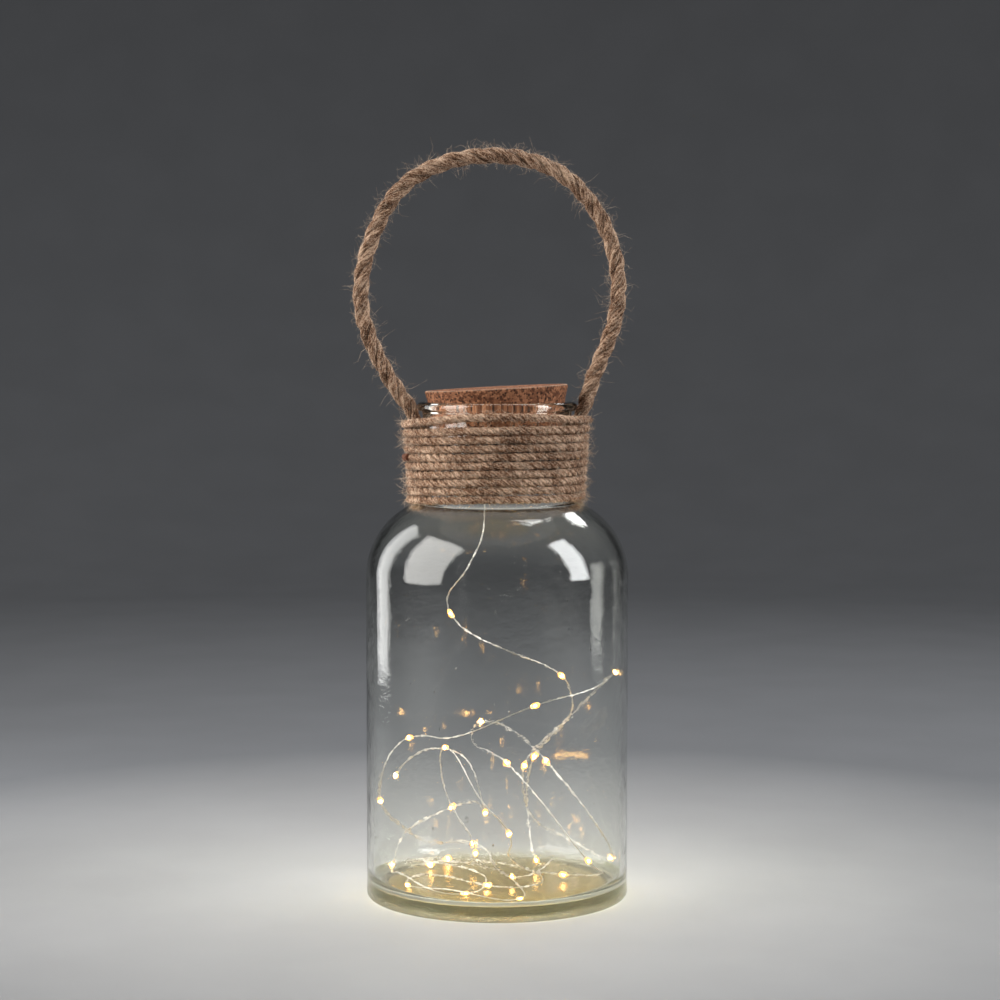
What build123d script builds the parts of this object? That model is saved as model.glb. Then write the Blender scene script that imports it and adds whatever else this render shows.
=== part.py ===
from build123d import *
import math
import os

# A glass jar with a wound neck and a rope handle, closed by a cork that carries
# a battery box and a string of small lights. Lengths are in millimetres. The jar's
# axis is Z, its foot stands on Z = 0, and the handle's arch lies in the XZ plane.

# Jar
body_diameter = 137.0
body_wall = 3.0
base_thickness = 6.5
foot_width = 7.0
foot_rise = 1.6
heel_radius = 2.5
inner_heel_radius = 8.0
shoulder_height = 168.0
shoulder_radius = 41.6
neck_diameter = 77.4
neck_wall = 2.7
neck_blend_radius = 3.0
neck_length = 49.0
bead_height = 5.0
bead_overhang = 3.0
lip_rounding = 1.2
bead_middle_share = 0.5

# Cork stopper and its lean
cork_height = 28.0
cork_proud = 7.4
cork_fit = 0.4
cork_taper = 9.0
cork_lean = 2.9
cork_edge = 1.0

# Battery box under the cork
case_inset = 0.84
case_height = 16.0
case_wall = 1.6
case_roof = 2.0
case_chamfer = 0.6
cell_diameter = 10.5
cell_length = 44.5
cell_nub_diameter = 3.8
cell_nub_length = 1.0
cell_gap = 0.3
cell_count = 3
cell_end_gap = 1.6
bay_wall = 1.2
contact_thickness = 0.5
contact_width = 8.0
contact_height = 8.0
contact_bow = 1.3
dimple_diameter = 3.0
screw_shank_diameter = 2.4
screw_head_diameter = 5.0
screw_head_height = 1.6
screw_length = 10.0
screw_recess_width = 2.4
screw_recess_depth = 0.8
screw_across = 31.0
screw_along = 42.0
screw_fit = 0.1

# Cover of the battery box
cover_thickness = 1.6
cover_fit = 0.3
cover_screw_diameter = 2.0
cover_screw_head_diameter = 3.8
cover_screw_head_height = 0.9
cover_screw_length = 6.0
cover_post_diameter = 4.6
cover_screw_inset = 2.7
finger_notch_width = 9.0
finger_notch_depth = 1.6

# Circuit board, switch and outlet of the light string
board_length = 23.0
board_width = 8.6
board_thickness = 1.0
board_post_diameter = 3.0
board_drop = 6.0
board_clearance = 0.6
chip_length = 4.0
chip_width = 3.0
chip_thickness = 1.2
resistor_length = 2.0
resistor_width = 1.2
resistor_thickness = 0.6
resistor_spacing = 2.0
switch_length = 8.6
switch_width = 4.4
switch_height = 4.0
switch_shift = 4.6
switch_slot_width = 1.9
switch_slot_depth = 2.2
switch_travel = 4.0
knob_length = 2.0
knob_width = 1.4
knob_reach = 1.2
knob_fit = 0.25
grommet_shift = 8.5
grommet_diameter = 4.6
grommet_flange_diameter = 6.0
grommet_flange = 0.9
grommet_reach = 1.6
grommet_bore = 1.1
lead_gap = 0.2
hookup_diameter = 0.8
hookup_stub = 3.5

# Light string: a thin wire with clear drops, each round one small chip
wire_diameter = 0.7
drop_length = 5.2
drop_diameter = 3.0
light_length = 1.6
light_width = 0.8
light_run = 18.0

# Rope handle and its two ends, held against the neck by the winding
rope_diameter = 8.2
pivot_span = 92.6
pivot_above_neck = 47.4
pivot_gap = 0.35
tail_fit = 0.15
left_tail_foot = 3.5
left_tail_waist = 5.6
left_tail_neck = 6.9
right_tail_foot = 2.9
right_tail_waist = 4.8
right_tail_neck = 5.8
tail_foot_width = 13.0
tail_waist_width = 11.0
tail_neck_width = 9.5
tail_head_width = 8.6
tail_head_thickness = 7.0
tail_waist_share = 0.78
tail_neck_share = 0.91

# Twine winding round the neck
twine_diameter = 3.85
turn_gap = 0.47
twine_fit = 0.3
quarter_turns = 38
winding_foot = 0.4
side_sag = 1.0
top_turn_lift_shares = {33: 0.04, 34: 0.14, 35: 0.5, 36: 0.3, 37: 1.0, 38: 0.3}
top_turn_lift = 2.9
gap_samples = 12

# Share of the shorter run beside a cord's bend that its arc may take
bend_share = 0.45

# Route of the light string in the jar. Each row has the place of one light and the
# bends that the wire takes after it.
string_route = [
    ((-24, -15, 150), [(4, -38, 134)]),
    ((33, -25, 119), [(41, 8, 93)]),
    ((20, 34, 67), [(16, 44, 39)]),
    ((21, 25, 12), [(31, -8, 22), (22, -24, 17)]),
    ((8, -10, 11), [(-2, 22, 10)]),
    ((-13, 40, 18), [(-38, 45, 16), (-55, 25, 33)]),
    ((-58, 0, 49), [(-58, -22, 72)]),
    ((-45, -20, 86), [(-22, -54, 90)]),
    ((19, -48, 107), [(48, -36, 113)]),
    ((59, 0, 117), [(55, 24, 106), (38, 46, 84)]),
    ((15, 45, 60), [(19, 52, 27), (40, 44, 20)]),
    ((57, 10, 16), [(48, -8, 45)]),
    ((26, 15, 68), [(10, 52, 78)]),
    ((-9, 50, 83), [(-14, 12, 77)]),
    ((5, -15, 72), [(28, -42, 50)]),
    ((46, -35, 25), [(56, -14, 14), (54, -2, 10)]),
    ((35, 0, 10), [(14, -6, 14), (4, -26, 26)]),
    ((6, -45, 41), [(-9, -60, 61)]),
    ((-26, -38, 84), [(-26, -30, 55)]),
    ((-11, -30, 28), [(-26, -8, 20), (-48, 10, 12)]),
    ((-36, 30, 9), [(-16, 28, 11), (-2, 4, 12), (4, -20, 16)]),
    ((11, -48, 9), [(-22, -54, 15)]),
    ((-46, -22, 9), [(-42, 2, 10), (-24, 0, 9)]),
    ((-5, -20, 9), [(14, -26, 9), (26, -10, 9), (20, 12, 10), (2, 32, 9)]),
    ((-27, 43, 9), [(-50, 26, 11), (-47, 4, 18), (-32, -12, 19), (-14, -16, 17), (-4, -26, 14)]),
    ((-16, -42, 9), [(-36, -44, 13), (-50, -28, 18)]),
    ((-55, -5, 16), [(-50, 18, 30)]),
    ((-24, 10, 44), [(-9, -8, 51)]),
    ((-6, -40, 51), [(-14, -46, 83), (-37, -14, 81)]),
    ((-54, 10, 61), []),
]
# Point that the free end past the last light heads for
string_end_toward = (-40, 36, 56)
# Bends of the lead that hangs from the outlet to the first light's run
lead_bends = [(-6.2, -23.5, 206), (-6.5, -26, 192), (-12, -28, 180), (-17, -28, 171)]

# Route of the handle rope from its left pivot over the top to the right one: the distance
# from the jar's axis and the height over the pivots
handle_route = [
    (-54.4, 10.7),
    (-61.6, 24.0),
    (-67.5, 37.1),
    (-70.8, 51.0),
    (-70.6, 64.5),
    (-67.4, 79.5),
    (-62.4, 92.5),
    (-55.4, 106.1),
    (-42.6, 118.9),
    (-21.8, 127.4),
    (1.6, 129.4),
    (21.2, 125.6),
    (35.4, 118.7),
    (45.6, 108.5),
    (53.8, 96.9),
    (59.8, 83.1),
    (62.8, 69.1),
    (63.2, 54.9),
    (60.9, 42.0),
    (57, 31.1),
    (52.6, 20.3),
    (48.6, 10.3),
]

# Places worked out from the sizes
body_r = body_diameter / 2
neck_r = neck_diameter / 2
mouth_r = neck_r - neck_wall
twine_r = twine_diameter / 2
rope_r = rope_diameter / 2
wire_r = wire_diameter / 2
shoulder_axis_r = body_r - shoulder_radius


def blend_centre(arc_radius, wall_radius, blend_radius):
    """Centre of the arc that joins the shoulder's arc to a straight neck wall."""
    across = wall_radius + blend_radius - shoulder_axis_r
    reach = arc_radius + blend_radius
    return wall_radius + blend_radius, shoulder_height + math.sqrt(reach**2 - across**2)


def arc_point(centre, radius, toward):
    """Point of a circle on the line from its centre to another point."""
    dx, dz = toward[0] - centre[0], toward[1] - centre[1]
    span = math.hypot(dx, dz)
    return centre[0] + radius * dx / span, centre[1] + radius * dz / span


shoulder_centre = (shoulder_axis_r, shoulder_height)
outer_blend = blend_centre(shoulder_radius, neck_r, neck_blend_radius)
inner_shoulder_radius = shoulder_radius - body_wall
inner_blend_radius = neck_blend_radius + neck_wall
inner_blend = blend_centre(inner_shoulder_radius, mouth_r, inner_blend_radius)
neck_z = outer_blend[1]
rim_z = neck_z + neck_length
bead_z = rim_z - bead_height
bead_r = neck_r + bead_overhang
bead_middle_z = bead_z + bead_height * bead_middle_share
inner_r = body_r - body_wall

# Glass jar: one wall turned about the axis, from the foot to the rounded lip
with BuildPart() as glass_jar:
    with BuildSketch(Plane.XZ) as jar_profile:
        with BuildLine():
            outer_shoulder = arc_point(shoulder_centre, shoulder_radius, outer_blend)
            inner_shoulder = arc_point(shoulder_centre, inner_shoulder_radius, inner_blend)
            foot_r = body_r - heel_radius
            Line((0, foot_rise), (foot_r - foot_width - foot_rise, foot_rise))
            Line((foot_r - foot_width - foot_rise, foot_rise), (foot_r - foot_width, 0))
            Line((foot_r - foot_width, 0), (foot_r, 0))
            TangentArc((foot_r, 0), (body_r, heel_radius), tangent=(1, 0))
            Line((body_r, heel_radius), (body_r, shoulder_height))
            TangentArc((body_r, shoulder_height), outer_shoulder, tangent=(0, 1))
            TangentArc((neck_r, neck_z), outer_shoulder, tangent=(0, -1))
            Line((neck_r, neck_z), (neck_r, bead_z))
            TangentArc((bead_r, bead_middle_z), (neck_r, bead_z), tangent=(0, -1))
            TangentArc((bead_r, bead_middle_z), (neck_r, rim_z), tangent=(0, 1))
            Line((neck_r, rim_z), (mouth_r + lip_rounding, rim_z))
            TangentArc((mouth_r, rim_z - lip_rounding), (mouth_r + lip_rounding, rim_z), tangent=(0, 1))
            Line((mouth_r, rim_z - lip_rounding), (mouth_r, inner_blend[1]))
            TangentArc((mouth_r, inner_blend[1]), inner_shoulder, tangent=(0, -1))
            TangentArc((inner_r, shoulder_height), inner_shoulder, tangent=(0, 1))
            Line((inner_r, shoulder_height), (inner_r, base_thickness + inner_heel_radius))
            TangentArc(
                (inner_r, base_thickness + inner_heel_radius),
                (inner_r - inner_heel_radius, base_thickness),
                tangent=(0, -1),
            )
            Line((inner_r - inner_heel_radius, base_thickness), (0, base_thickness))
            Line((0, base_thickness), (0, foot_rise))
        make_face()
    revolve(axis=Axis.Z)

# Cork stopper: a tapered plug that leans in the mouth
lean = math.radians(cork_lean)
stopper_plane = Plane(
    origin=(0, 0, rim_z),
    x_dir=(math.cos(lean), 0, math.sin(lean)),
    z_dir=(-math.sin(lean), 0, math.cos(lean)),
)
taper = math.tan(math.radians(cork_taper))
cork_mouth_r = mouth_r - cork_fit
cork_top_r = cork_mouth_r + cork_proud * taper
cork_bottom = cork_proud - cork_height
cork_bottom_r = cork_mouth_r + cork_bottom * taper

with BuildPart() as cork_stopper:
    with BuildSketch(stopper_plane.offset(cork_bottom)):
        Circle(cork_bottom_r)
    with BuildSketch(stopper_plane.offset(cork_proud)):
        Circle(cork_top_r)
    loft()
    fillet(cork_stopper.edges().group_by(Axis.Z)[-1], radius=cork_edge)

# Battery box: a round cup, open downward, with a bay for the cells and posts
# for its cover and board
case_r = cork_bottom_r - case_inset
case_inner_r = case_r - case_wall
case_top = cork_bottom
case_floor = case_top - case_height
roof_under = case_top - case_roof
cell_pitch = cell_diameter + cell_gap
bay_half = (cell_count * cell_pitch + cell_gap) / 2
end_wall_x = cell_length / 2 + cell_end_gap + contact_thickness
end_wall_half = math.sqrt(case_inner_r**2 - (end_wall_x + bay_wall) ** 2)
cell_z = roof_under - cell_gap - cell_diameter / 2
cover_top = case_floor + cover_thickness
post_x = case_inner_r - cover_screw_inset
board_y = -(bay_half + bay_wall + board_clearance + board_width / 2)
board_top = roof_under - board_drop
board_under = board_top - board_thickness
bay_drop = roof_under - cover_top - cell_gap
chord_half = math.sqrt(case_inner_r**2 - (bay_half + bay_wall) ** 2)
screw_places = [
    (side * screw_across / 2, end * screw_along / 2) for side in (-1, 1) for end in (-1, 1)
]
board_posts = [(side * (board_length / 2 - board_post_diameter / 2), board_y) for side in (-1, 1)]

with BuildPart() as battery_case:
    with BuildSketch(stopper_plane.offset(case_floor)):
        Circle(case_r)
    extrude(amount=case_height)
    chamfer(battery_case.edges().group_by(Axis.Z)[-1], length=case_chamfer)
    with BuildSketch(stopper_plane.offset(roof_under)):
        Circle(case_inner_r)
    extrude(amount=-case_height, mode=Mode.SUBTRACT)
    with BuildSketch(stopper_plane.offset(roof_under)):
        for side in (-1, 1):
            with Locations((0, side * (bay_half + bay_wall / 2))):
                Rectangle(2 * chord_half + case_wall, bay_wall)
            with Locations((side * (end_wall_x + bay_wall / 2), 0)):
                Rectangle(bay_wall, 2 * end_wall_half + case_wall)
            with Locations((side * post_x, 0)):
                Circle(cover_post_diameter / 2)
            with Locations((side * (post_x + cover_screw_inset / 2), 0)):
                Rectangle(cover_screw_inset + case_wall, cover_post_diameter / 2)
    extrude(amount=-bay_drop)
    with BuildSketch(stopper_plane.offset(roof_under)):
        with Locations(*board_posts):
            Circle(board_post_diameter / 2)
    extrude(amount=-board_drop)
    with BuildSketch(stopper_plane.offset(case_top)):
        with Locations(*screw_places):
            Circle(screw_shank_diameter / 2 + screw_fit)
    extrude(amount=-case_roof, mode=Mode.SUBTRACT)
    with BuildSketch(stopper_plane.offset(cover_top)):
        with Locations((-post_x, 0), (post_x, 0)):
            Circle(cover_screw_diameter / 2 + screw_fit)
    extrude(amount=cover_screw_length, mode=Mode.SUBTRACT)

# Holes in the cork for the screws of the box
with BuildPart() as drilled_cork:
    add(cork_stopper.part)
    with BuildSketch(stopper_plane.offset(cork_bottom)):
        with Locations(*screw_places):
            Circle(screw_shank_diameter / 2 + screw_fit)
    extrude(amount=screw_length, mode=Mode.SUBTRACT)

# Screws that hold the box to the cork, heads down, with a square recess each
with BuildPart() as case_screws:
    with BuildSketch(stopper_plane.offset(roof_under)):
        with Locations(*screw_places):
            Circle(screw_shank_diameter / 2)
    extrude(amount=screw_length)
    with BuildSketch(stopper_plane.offset(roof_under)):
        with Locations(*screw_places):
            Circle(screw_head_diameter / 2)
    extrude(amount=-screw_head_height)
    with BuildSketch(stopper_plane.offset(roof_under - screw_head_height)):
        with Locations(*screw_places):
            Rectangle(screw_recess_width, screw_recess_width)
    extrude(amount=screw_recess_depth, mode=Mode.SUBTRACT)


def cell_end_plane(side, row):
    """Plane at one end of a cell's case, facing out of the cell along the bay."""
    across = (row - (cell_count - 1) / 2) * cell_pitch
    origin = stopper_plane.from_local_coords((side * cell_length / 2, across, cell_z))
    out = stopper_plane.x_dir * side
    return Plane(origin=origin, x_dir=stopper_plane.y_dir, z_dir=out)


# Cells lie side by side, each turned the other way round
cells = []
for row in range(cell_count):
    nub_side = 1 if row % 2 == 0 else -1
    with BuildPart() as battery_cell:
        with BuildSketch(cell_end_plane(-nub_side, row)):
            Circle(cell_diameter / 2)
        extrude(amount=-(cell_length - cell_nub_length))
        with BuildSketch(cell_end_plane(nub_side, row).offset(-cell_nub_length)):
            Circle(cell_nub_diameter / 2)
        extrude(amount=cell_nub_length)
    cells.append(battery_cell)


def contact_plane(side, row):
    """Plane on the bay's end wall, facing the cell of one row."""
    plane = cell_end_plane(side, row)
    flipped = Plane(origin=plane.origin, x_dir=plane.x_dir, z_dir=-plane.z_dir)
    return flipped.offset(-(cell_end_gap + contact_thickness))


# Flat contacts at the nubs, each with a dimple, and bowed leaves at the other ends
with BuildPart() as plate_contacts:
    for row in range(cell_count):
        nub_side = 1 if row % 2 == 0 else -1
        with BuildSketch(contact_plane(nub_side, row)):
            Rectangle(contact_width, contact_height)
        extrude(amount=contact_thickness)
        with BuildSketch(contact_plane(nub_side, row).offset(contact_thickness)):
            Circle(dimple_diameter / 2)
        extrude(amount=contact_bow)

leaf_half = contact_height / 2
with BuildPart() as spring_contacts:
    for row in range(cell_count):
        leaf_side = -1 if row % 2 == 0 else 1
        plane = contact_plane(leaf_side, row)
        side_view = Plane(
            origin=plane.origin - plane.x_dir * (contact_width / 2),
            x_dir=plane.z_dir,
            z_dir=plane.x_dir,
        )
        with BuildSketch(side_view):
            with BuildLine():
                crown = contact_thickness + contact_bow
                ThreePointArc((contact_thickness, -leaf_half), (crown, 0), (contact_thickness, leaf_half))
                Line((contact_thickness, leaf_half), (0, leaf_half))
                ThreePointArc((0, leaf_half), (contact_bow, 0), (0, -leaf_half))
                Line((0, -leaf_half), (contact_thickness, -leaf_half))
            make_face()
        extrude(amount=contact_width)

# Circuit board on its two posts, with the parts soldered on its underside
with BuildPart() as circuit_board:
    with BuildSketch(stopper_plane.offset(board_top)):
        with Locations((0, board_y)):
            Rectangle(board_length, board_width)
    extrude(amount=-board_thickness)

with BuildPart() as board_parts:
    with BuildSketch(stopper_plane.offset(board_top)):
        with Locations((0, board_y)):
            Rectangle(chip_length, chip_width)
    extrude(amount=chip_thickness)
    with BuildSketch(stopper_plane.offset(board_top)):
        for step in (1, 2):
            with Locations((chip_length / 2 + step * resistor_spacing, board_y)):
                Rectangle(resistor_width, resistor_length)
    extrude(amount=resistor_thickness)

# Slide switch under the board, its slot open downward
switch_under = board_under - switch_height
with BuildPart() as switch_body:
    with BuildSketch(stopper_plane.offset(board_under)):
        with Locations((switch_shift, board_y)):
            Rectangle(switch_length, switch_width)
    extrude(amount=-switch_height)
    with BuildSketch(stopper_plane.offset(switch_under)):
        with Locations((switch_shift, board_y)):
            Rectangle(knob_length + switch_travel + 2 * knob_fit, switch_slot_width)
    extrude(amount=switch_slot_depth, mode=Mode.SUBTRACT)

# Knob of the switch, in its middle position, standing out through the cover
knob_top = switch_under + switch_slot_depth - knob_fit
with BuildPart() as switch_knob:
    with BuildSketch(stopper_plane.offset(knob_top)):
        with Locations((switch_shift, board_y)):
            Rectangle(knob_length, knob_width)
    extrude(amount=-(knob_top - case_floor + knob_reach))

# Cover: a round plate in the mouth of the box, with a slot for the knob, an open
# notch for the outlet and a finger notch opposite
cover_r = case_inner_r - cover_fit
outlet = (-grommet_shift, board_y)
with BuildPart() as battery_cover:
    with BuildSketch(stopper_plane.offset(case_floor)):
        Circle(cover_r)
        with Locations((switch_shift, board_y)):
            SlotOverall(
                knob_length + switch_travel + 2 * knob_fit + knob_width,
                knob_width + 2 * knob_fit,
                mode=Mode.SUBTRACT,
            )
        with Locations(outlet):
            Circle(grommet_diameter / 2 + cover_fit, mode=Mode.SUBTRACT)
        with Locations((outlet[0], outlet[1] - case_r / 2)):
            Rectangle(grommet_diameter + 2 * cover_fit, case_r, mode=Mode.SUBTRACT)
        with Locations((0, cover_r)):
            Rectangle(finger_notch_width, 2 * finger_notch_depth, mode=Mode.SUBTRACT)
        with Locations((-post_x, 0), (post_x, 0)):
            Circle(cover_screw_diameter / 2 + screw_fit, mode=Mode.SUBTRACT)
    extrude(amount=cover_thickness)

# Captive screws of the cover, heads down
with BuildPart() as cover_screws:
    with BuildSketch(stopper_plane.offset(case_floor)):
        with Locations((-post_x, 0), (post_x, 0)):
            Circle(cover_screw_diameter / 2)
    extrude(amount=cover_screw_length)
    with BuildSketch(stopper_plane.offset(case_floor)):
        with Locations((-post_x, 0), (post_x, 0)):
            Circle(cover_screw_head_diameter / 2)
    extrude(amount=-cover_screw_head_height)
    with BuildSketch(stopper_plane.offset(case_floor - cover_screw_head_height)):
        with Locations((-post_x, 0), (post_x, 0)):
            Rectangle(cover_screw_diameter, cover_screw_head_height / 2)
    extrude(amount=cover_screw_head_height / 2, mode=Mode.SUBTRACT)

# Grommet that holds the light string's wire in the notch, hung from the board
with BuildPart() as wire_grommet:
    with BuildSketch(stopper_plane.offset(board_under)):
        with Locations(outlet):
            Circle(grommet_diameter / 2)
    extrude(amount=-(board_under - case_floor + grommet_reach))
    with BuildSketch(stopper_plane.offset(board_under)):
        with Locations(outlet):
            Circle(grommet_flange_diameter / 2)
    extrude(amount=-grommet_flange)
    with BuildSketch(stopper_plane.offset(board_under)):
        with Locations(outlet):
            Circle(grommet_bore / 2)
    extrude(amount=-(board_under - case_floor + grommet_reach), mode=Mode.SUBTRACT)


def turn_radii(points):
    """Radius of the arc at each corner of a cord's route."""
    radii = []
    for before, corner, after in zip(points, points[1:], points[2:]):
        first, second = Vector(corner) - Vector(before), Vector(after) - Vector(corner)
        half_turn = math.radians(first.get_angle(second)) / 2
        radii.append(bend_share * min(first.length, second.length) / math.tan(half_turn))
    return radii


def stopper_point(x, y, z):
    """Point of the leaning stopper's frame, in the jar's frame."""
    return stopper_plane.from_local_coords((x, y, z))


# Hookup wires from the board's ends to the wall of the cell bay
wire_level = board_top - board_thickness / 2
wire_runs = []
for side in (-1, 1):
    board_end = side * board_length / 2
    wire_runs.append(
        [
            stopper_point(board_end, board_y, wire_level),
            stopper_point(board_end + side * hookup_stub, board_y, wire_level),
            stopper_point(board_end + side * hookup_stub, -(bay_half + bay_wall), wire_level),
        ]
    )

with BuildPart() as hookup_wires:
    for points in wire_runs:
        with BuildLine() as hookup_line:
            FilletPolyline(*points, radius=turn_radii(points))
        with BuildSketch(Plane(origin=hookup_line.line @ 0, z_dir=hookup_line.line % 0)):
            Circle(hookup_diameter / 2)
        sweep(path=hookup_line.line)

# Light string: the route's points, with one straight run at each light
flat_route = []
for light, bends in string_route:
    flat_route.append((light, True))
    for bend in bends:
        flat_route.append((bend, False))
outlet_end = stopper_point(outlet[0], outlet[1], case_floor - grommet_reach - lead_gap)
lead_points = [outlet_end] + [Vector(*bend) for bend in lead_bends]
route_points = []
light_frames = []
for index, (place, is_light) in enumerate(flat_route):
    here = Vector(*place)
    if not is_light:
        route_points.append(here)
        continue
    before = Vector(*flat_route[index - 1][0]) if index else lead_points[-1]
    is_last = index + 1 == len(flat_route)
    after = Vector(*string_end_toward) if is_last else Vector(*flat_route[index + 1][0])
    along = (after - before).normalized()
    light_frames.append((here, along))
    route_points.append(here - along * (light_run / 2))
    route_points.append(here + along * (light_run / 2))
# The lead and the string meet face to face, half way along one straight run
meeting_point = (lead_points[-1] + route_points[0]) / 2
lead_route = lead_points + [meeting_point]

string_points = [meeting_point] + route_points
with BuildPart() as string_wire:
    with BuildLine() as string_line:
        FilletPolyline(*string_points, radius=turn_radii(string_points))
    with BuildSketch(Plane(origin=string_line.line @ 0, z_dir=string_line.line % 0)):
        Circle(wire_r)
    sweep(path=string_line.line)

with BuildPart() as string_lead:
    with BuildLine() as lead_line:
        FilletPolyline(*lead_route, radius=turn_radii(lead_route))
    with BuildSketch(Plane(origin=lead_line.line @ 0, z_dir=lead_line.line % 0)):
        Circle(wire_r)
    sweep(path=lead_line.line)

# Clear drops on the wire and the chip inside each
drop_r = drop_diameter / 2
drop_shoulder = drop_length / 2 - drop_r
with BuildPart() as led_drops:
    for here, along in light_frames:
        drop_plane = Plane(origin=here, z_dir=along)
        side_plane = Plane(origin=here, x_dir=drop_plane.x_dir, z_dir=drop_plane.y_dir)
        with BuildSketch(side_plane):
            with BuildLine():
                TangentArc((drop_r, drop_shoulder), (0, drop_length / 2), tangent=(0, 1))
                TangentArc((drop_r, -drop_shoulder), (0, -drop_length / 2), tangent=(0, -1))
                Line((drop_r, drop_shoulder), (drop_r, -drop_shoulder))
                Line((0, drop_length / 2), (0, -drop_length / 2))
            make_face()
        revolve(axis=Axis(here, along))

with BuildPart() as led_chips:
    for here, along in light_frames:
        with BuildSketch(Plane(origin=here - along * (light_length / 2), z_dir=along)):
            Rectangle(light_width, light_width)
        extrude(amount=light_length)

# Rope handle: an arch of rope whose two ends turn about the line between its pivots
pivot_z = neck_z + pivot_above_neck
handle_points = [Vector(-pivot_span / 2, 0, pivot_z)]
handle_points += [Vector(x, 0, pivot_z + height) for x, height in handle_route]
handle_points.append(Vector(pivot_span / 2, 0, pivot_z))
handle_radii = turn_radii(handle_points)
with BuildPart() as rope_handle:
    with BuildLine() as handle_line:
        FilletPolyline(*handle_points, radius=handle_radii)
    with BuildSketch(Plane(origin=handle_line.line @ 0, z_dir=handle_line.line % 0)):
        Circle(rope_r)
    sweep(path=handle_line.line)
    for end in (handle_points[0], handle_points[-1]):
        with Locations(end):
            Sphere(rope_r)


# Rope ends: flattened against the neck under the winding, rounder towards the pivot
tail_foot_z = neck_z + winding_foot - side_sag
tail_head_z = pivot_z - rope_r - pivot_gap
tail_height = tail_head_z - tail_foot_z
tail_inner = neck_r + tail_fit
head_x = pivot_span / 2 - tail_head_thickness / 2
tail_sizes = {
    -1: (left_tail_foot, left_tail_waist, left_tail_neck),
    1: (right_tail_foot, right_tail_waist, right_tail_neck),
}
tail_levels = (
    tail_foot_z,
    tail_foot_z + tail_height * tail_waist_share,
    tail_foot_z + tail_height * tail_neck_share,
)


def tail_outer(side, height):
    """Distance from the jar's axis to the outside of a rope end at a height."""
    table = [(level, tail_inner + size) for level, size in zip(tail_levels, tail_sizes[side])]
    table.append((tail_head_z, head_x + tail_head_thickness / 2))
    if height <= table[0][0]:
        return table[0][1]
    for (low, low_x), (high, high_x) in zip(table, table[1:]):
        if height <= high:
            return low_x + (high_x - low_x) * (height - low) / (high - low)
    return table[-1][1]


rope_tails = {}
for side in (-1, 1):
    with BuildPart() as rope_tail:
        widths = (tail_foot_width, tail_waist_width, tail_neck_width)
        for level, size, width in zip(tail_levels, tail_sizes[side], widths):
            corner_x = math.sqrt(tail_inner**2 - (width / 2) ** 2)
            with BuildSketch(Plane.XY.offset(level)):
                with BuildLine():
                    low, high = (side * corner_x, -width / 2), (side * corner_x, width / 2)
                    ThreePointArc(low, (side * (tail_inner + size), 0), high)
                    ThreePointArc(high, (side * tail_inner, 0), low)
                make_face()
        with BuildSketch(Plane.XY.offset(tail_head_z)):
            with BuildLine():
                low, high = (side * head_x, -tail_head_width / 2), (side * head_x, tail_head_width / 2)
                ThreePointArc(low, (side * (head_x + tail_head_thickness / 2), 0), high)
                ThreePointArc(high, (side * (head_x - tail_head_thickness / 2), 0), low)
            make_face()
        loft(ruled=True)
    rope_tails[side] = rope_tail


# Twine winding: one tube on quarter turns of two arcs each, over the rope ends
twine_pitch = twine_diameter + turn_gap
twine_ring_r = neck_r + tail_fit + twine_r


def knot_height(index):
    """Height of the twine's centre at one quarter turn."""
    height = neck_z + winding_foot + twine_pitch * (index - 1) / 4
    if index % 2 == 0:
        height -= side_sag
    return height + top_turn_lift * top_turn_lift_shares.get(index, 0)


def knot_place(index):
    """Centre of the twine at one quarter turn, counted from the left side."""
    height = knot_height(index)
    if index % 2 == 1:
        return Vector(0, -twine_ring_r if index % 4 == 1 else twine_ring_r, height)
    side = -1 if index % 4 == 0 else 1
    return Vector(side * (tail_outer(side, height) + twine_fit + twine_r), 0, height)


def knot_tangent(index):
    """Direction of the twine at one quarter turn."""
    flat = [Vector(0, -1, 0), Vector(1, 0, 0), Vector(0, 1, 0), Vector(-1, 0, 0)][index % 4]
    half_turn_length = math.pi * twine_ring_r
    slope = (knot_height(index + 1) - knot_height(index - 1)) / half_turn_length
    return (flat + Vector(0, 0, slope)).normalized()


def biarc(start, start_tangent, end, end_tangent):
    """Point and direction where two arcs meet that join two points with directions."""
    span = end - start
    both = start_tangent + end_tangent
    a = 2 * (start_tangent.dot(end_tangent) - 1)
    b = -2 * span.dot(both)
    c = span.dot(span)
    root = math.sqrt(b * b - 4 * a * c)
    handle = max((-b + root) / (2 * a), (-b - root) / (2 * a))
    start_handle, end_handle = start + start_tangent * handle, end - end_tangent * handle
    return (start_handle + end_handle) / 2, (end_handle - start_handle).normalized()


with BuildPart() as neck_winding:
    with BuildLine() as twine_line:
        first_place, first_way = knot_place(0), knot_tangent(0)
        Line(first_place - first_way * twine_diameter, first_place)
        for index in range(quarter_turns):
            start, end = knot_place(index), knot_place(index + 1)
            middle, middle_way = biarc(start, knot_tangent(index), end, knot_tangent(index + 1))
            TangentArc(start, middle, tangent=knot_tangent(index))
            TangentArc(middle, end, tangent=middle_way)
        last_place, last_way = knot_place(quarter_turns), knot_tangent(quarter_turns)
        Line(last_place, last_place + last_way * twine_diameter)
    with BuildSketch(Plane(origin=twine_line.line @ 0, z_dir=twine_line.line % 0)):
        Circle(twine_r)
    sweep(path=twine_line.line)

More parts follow.
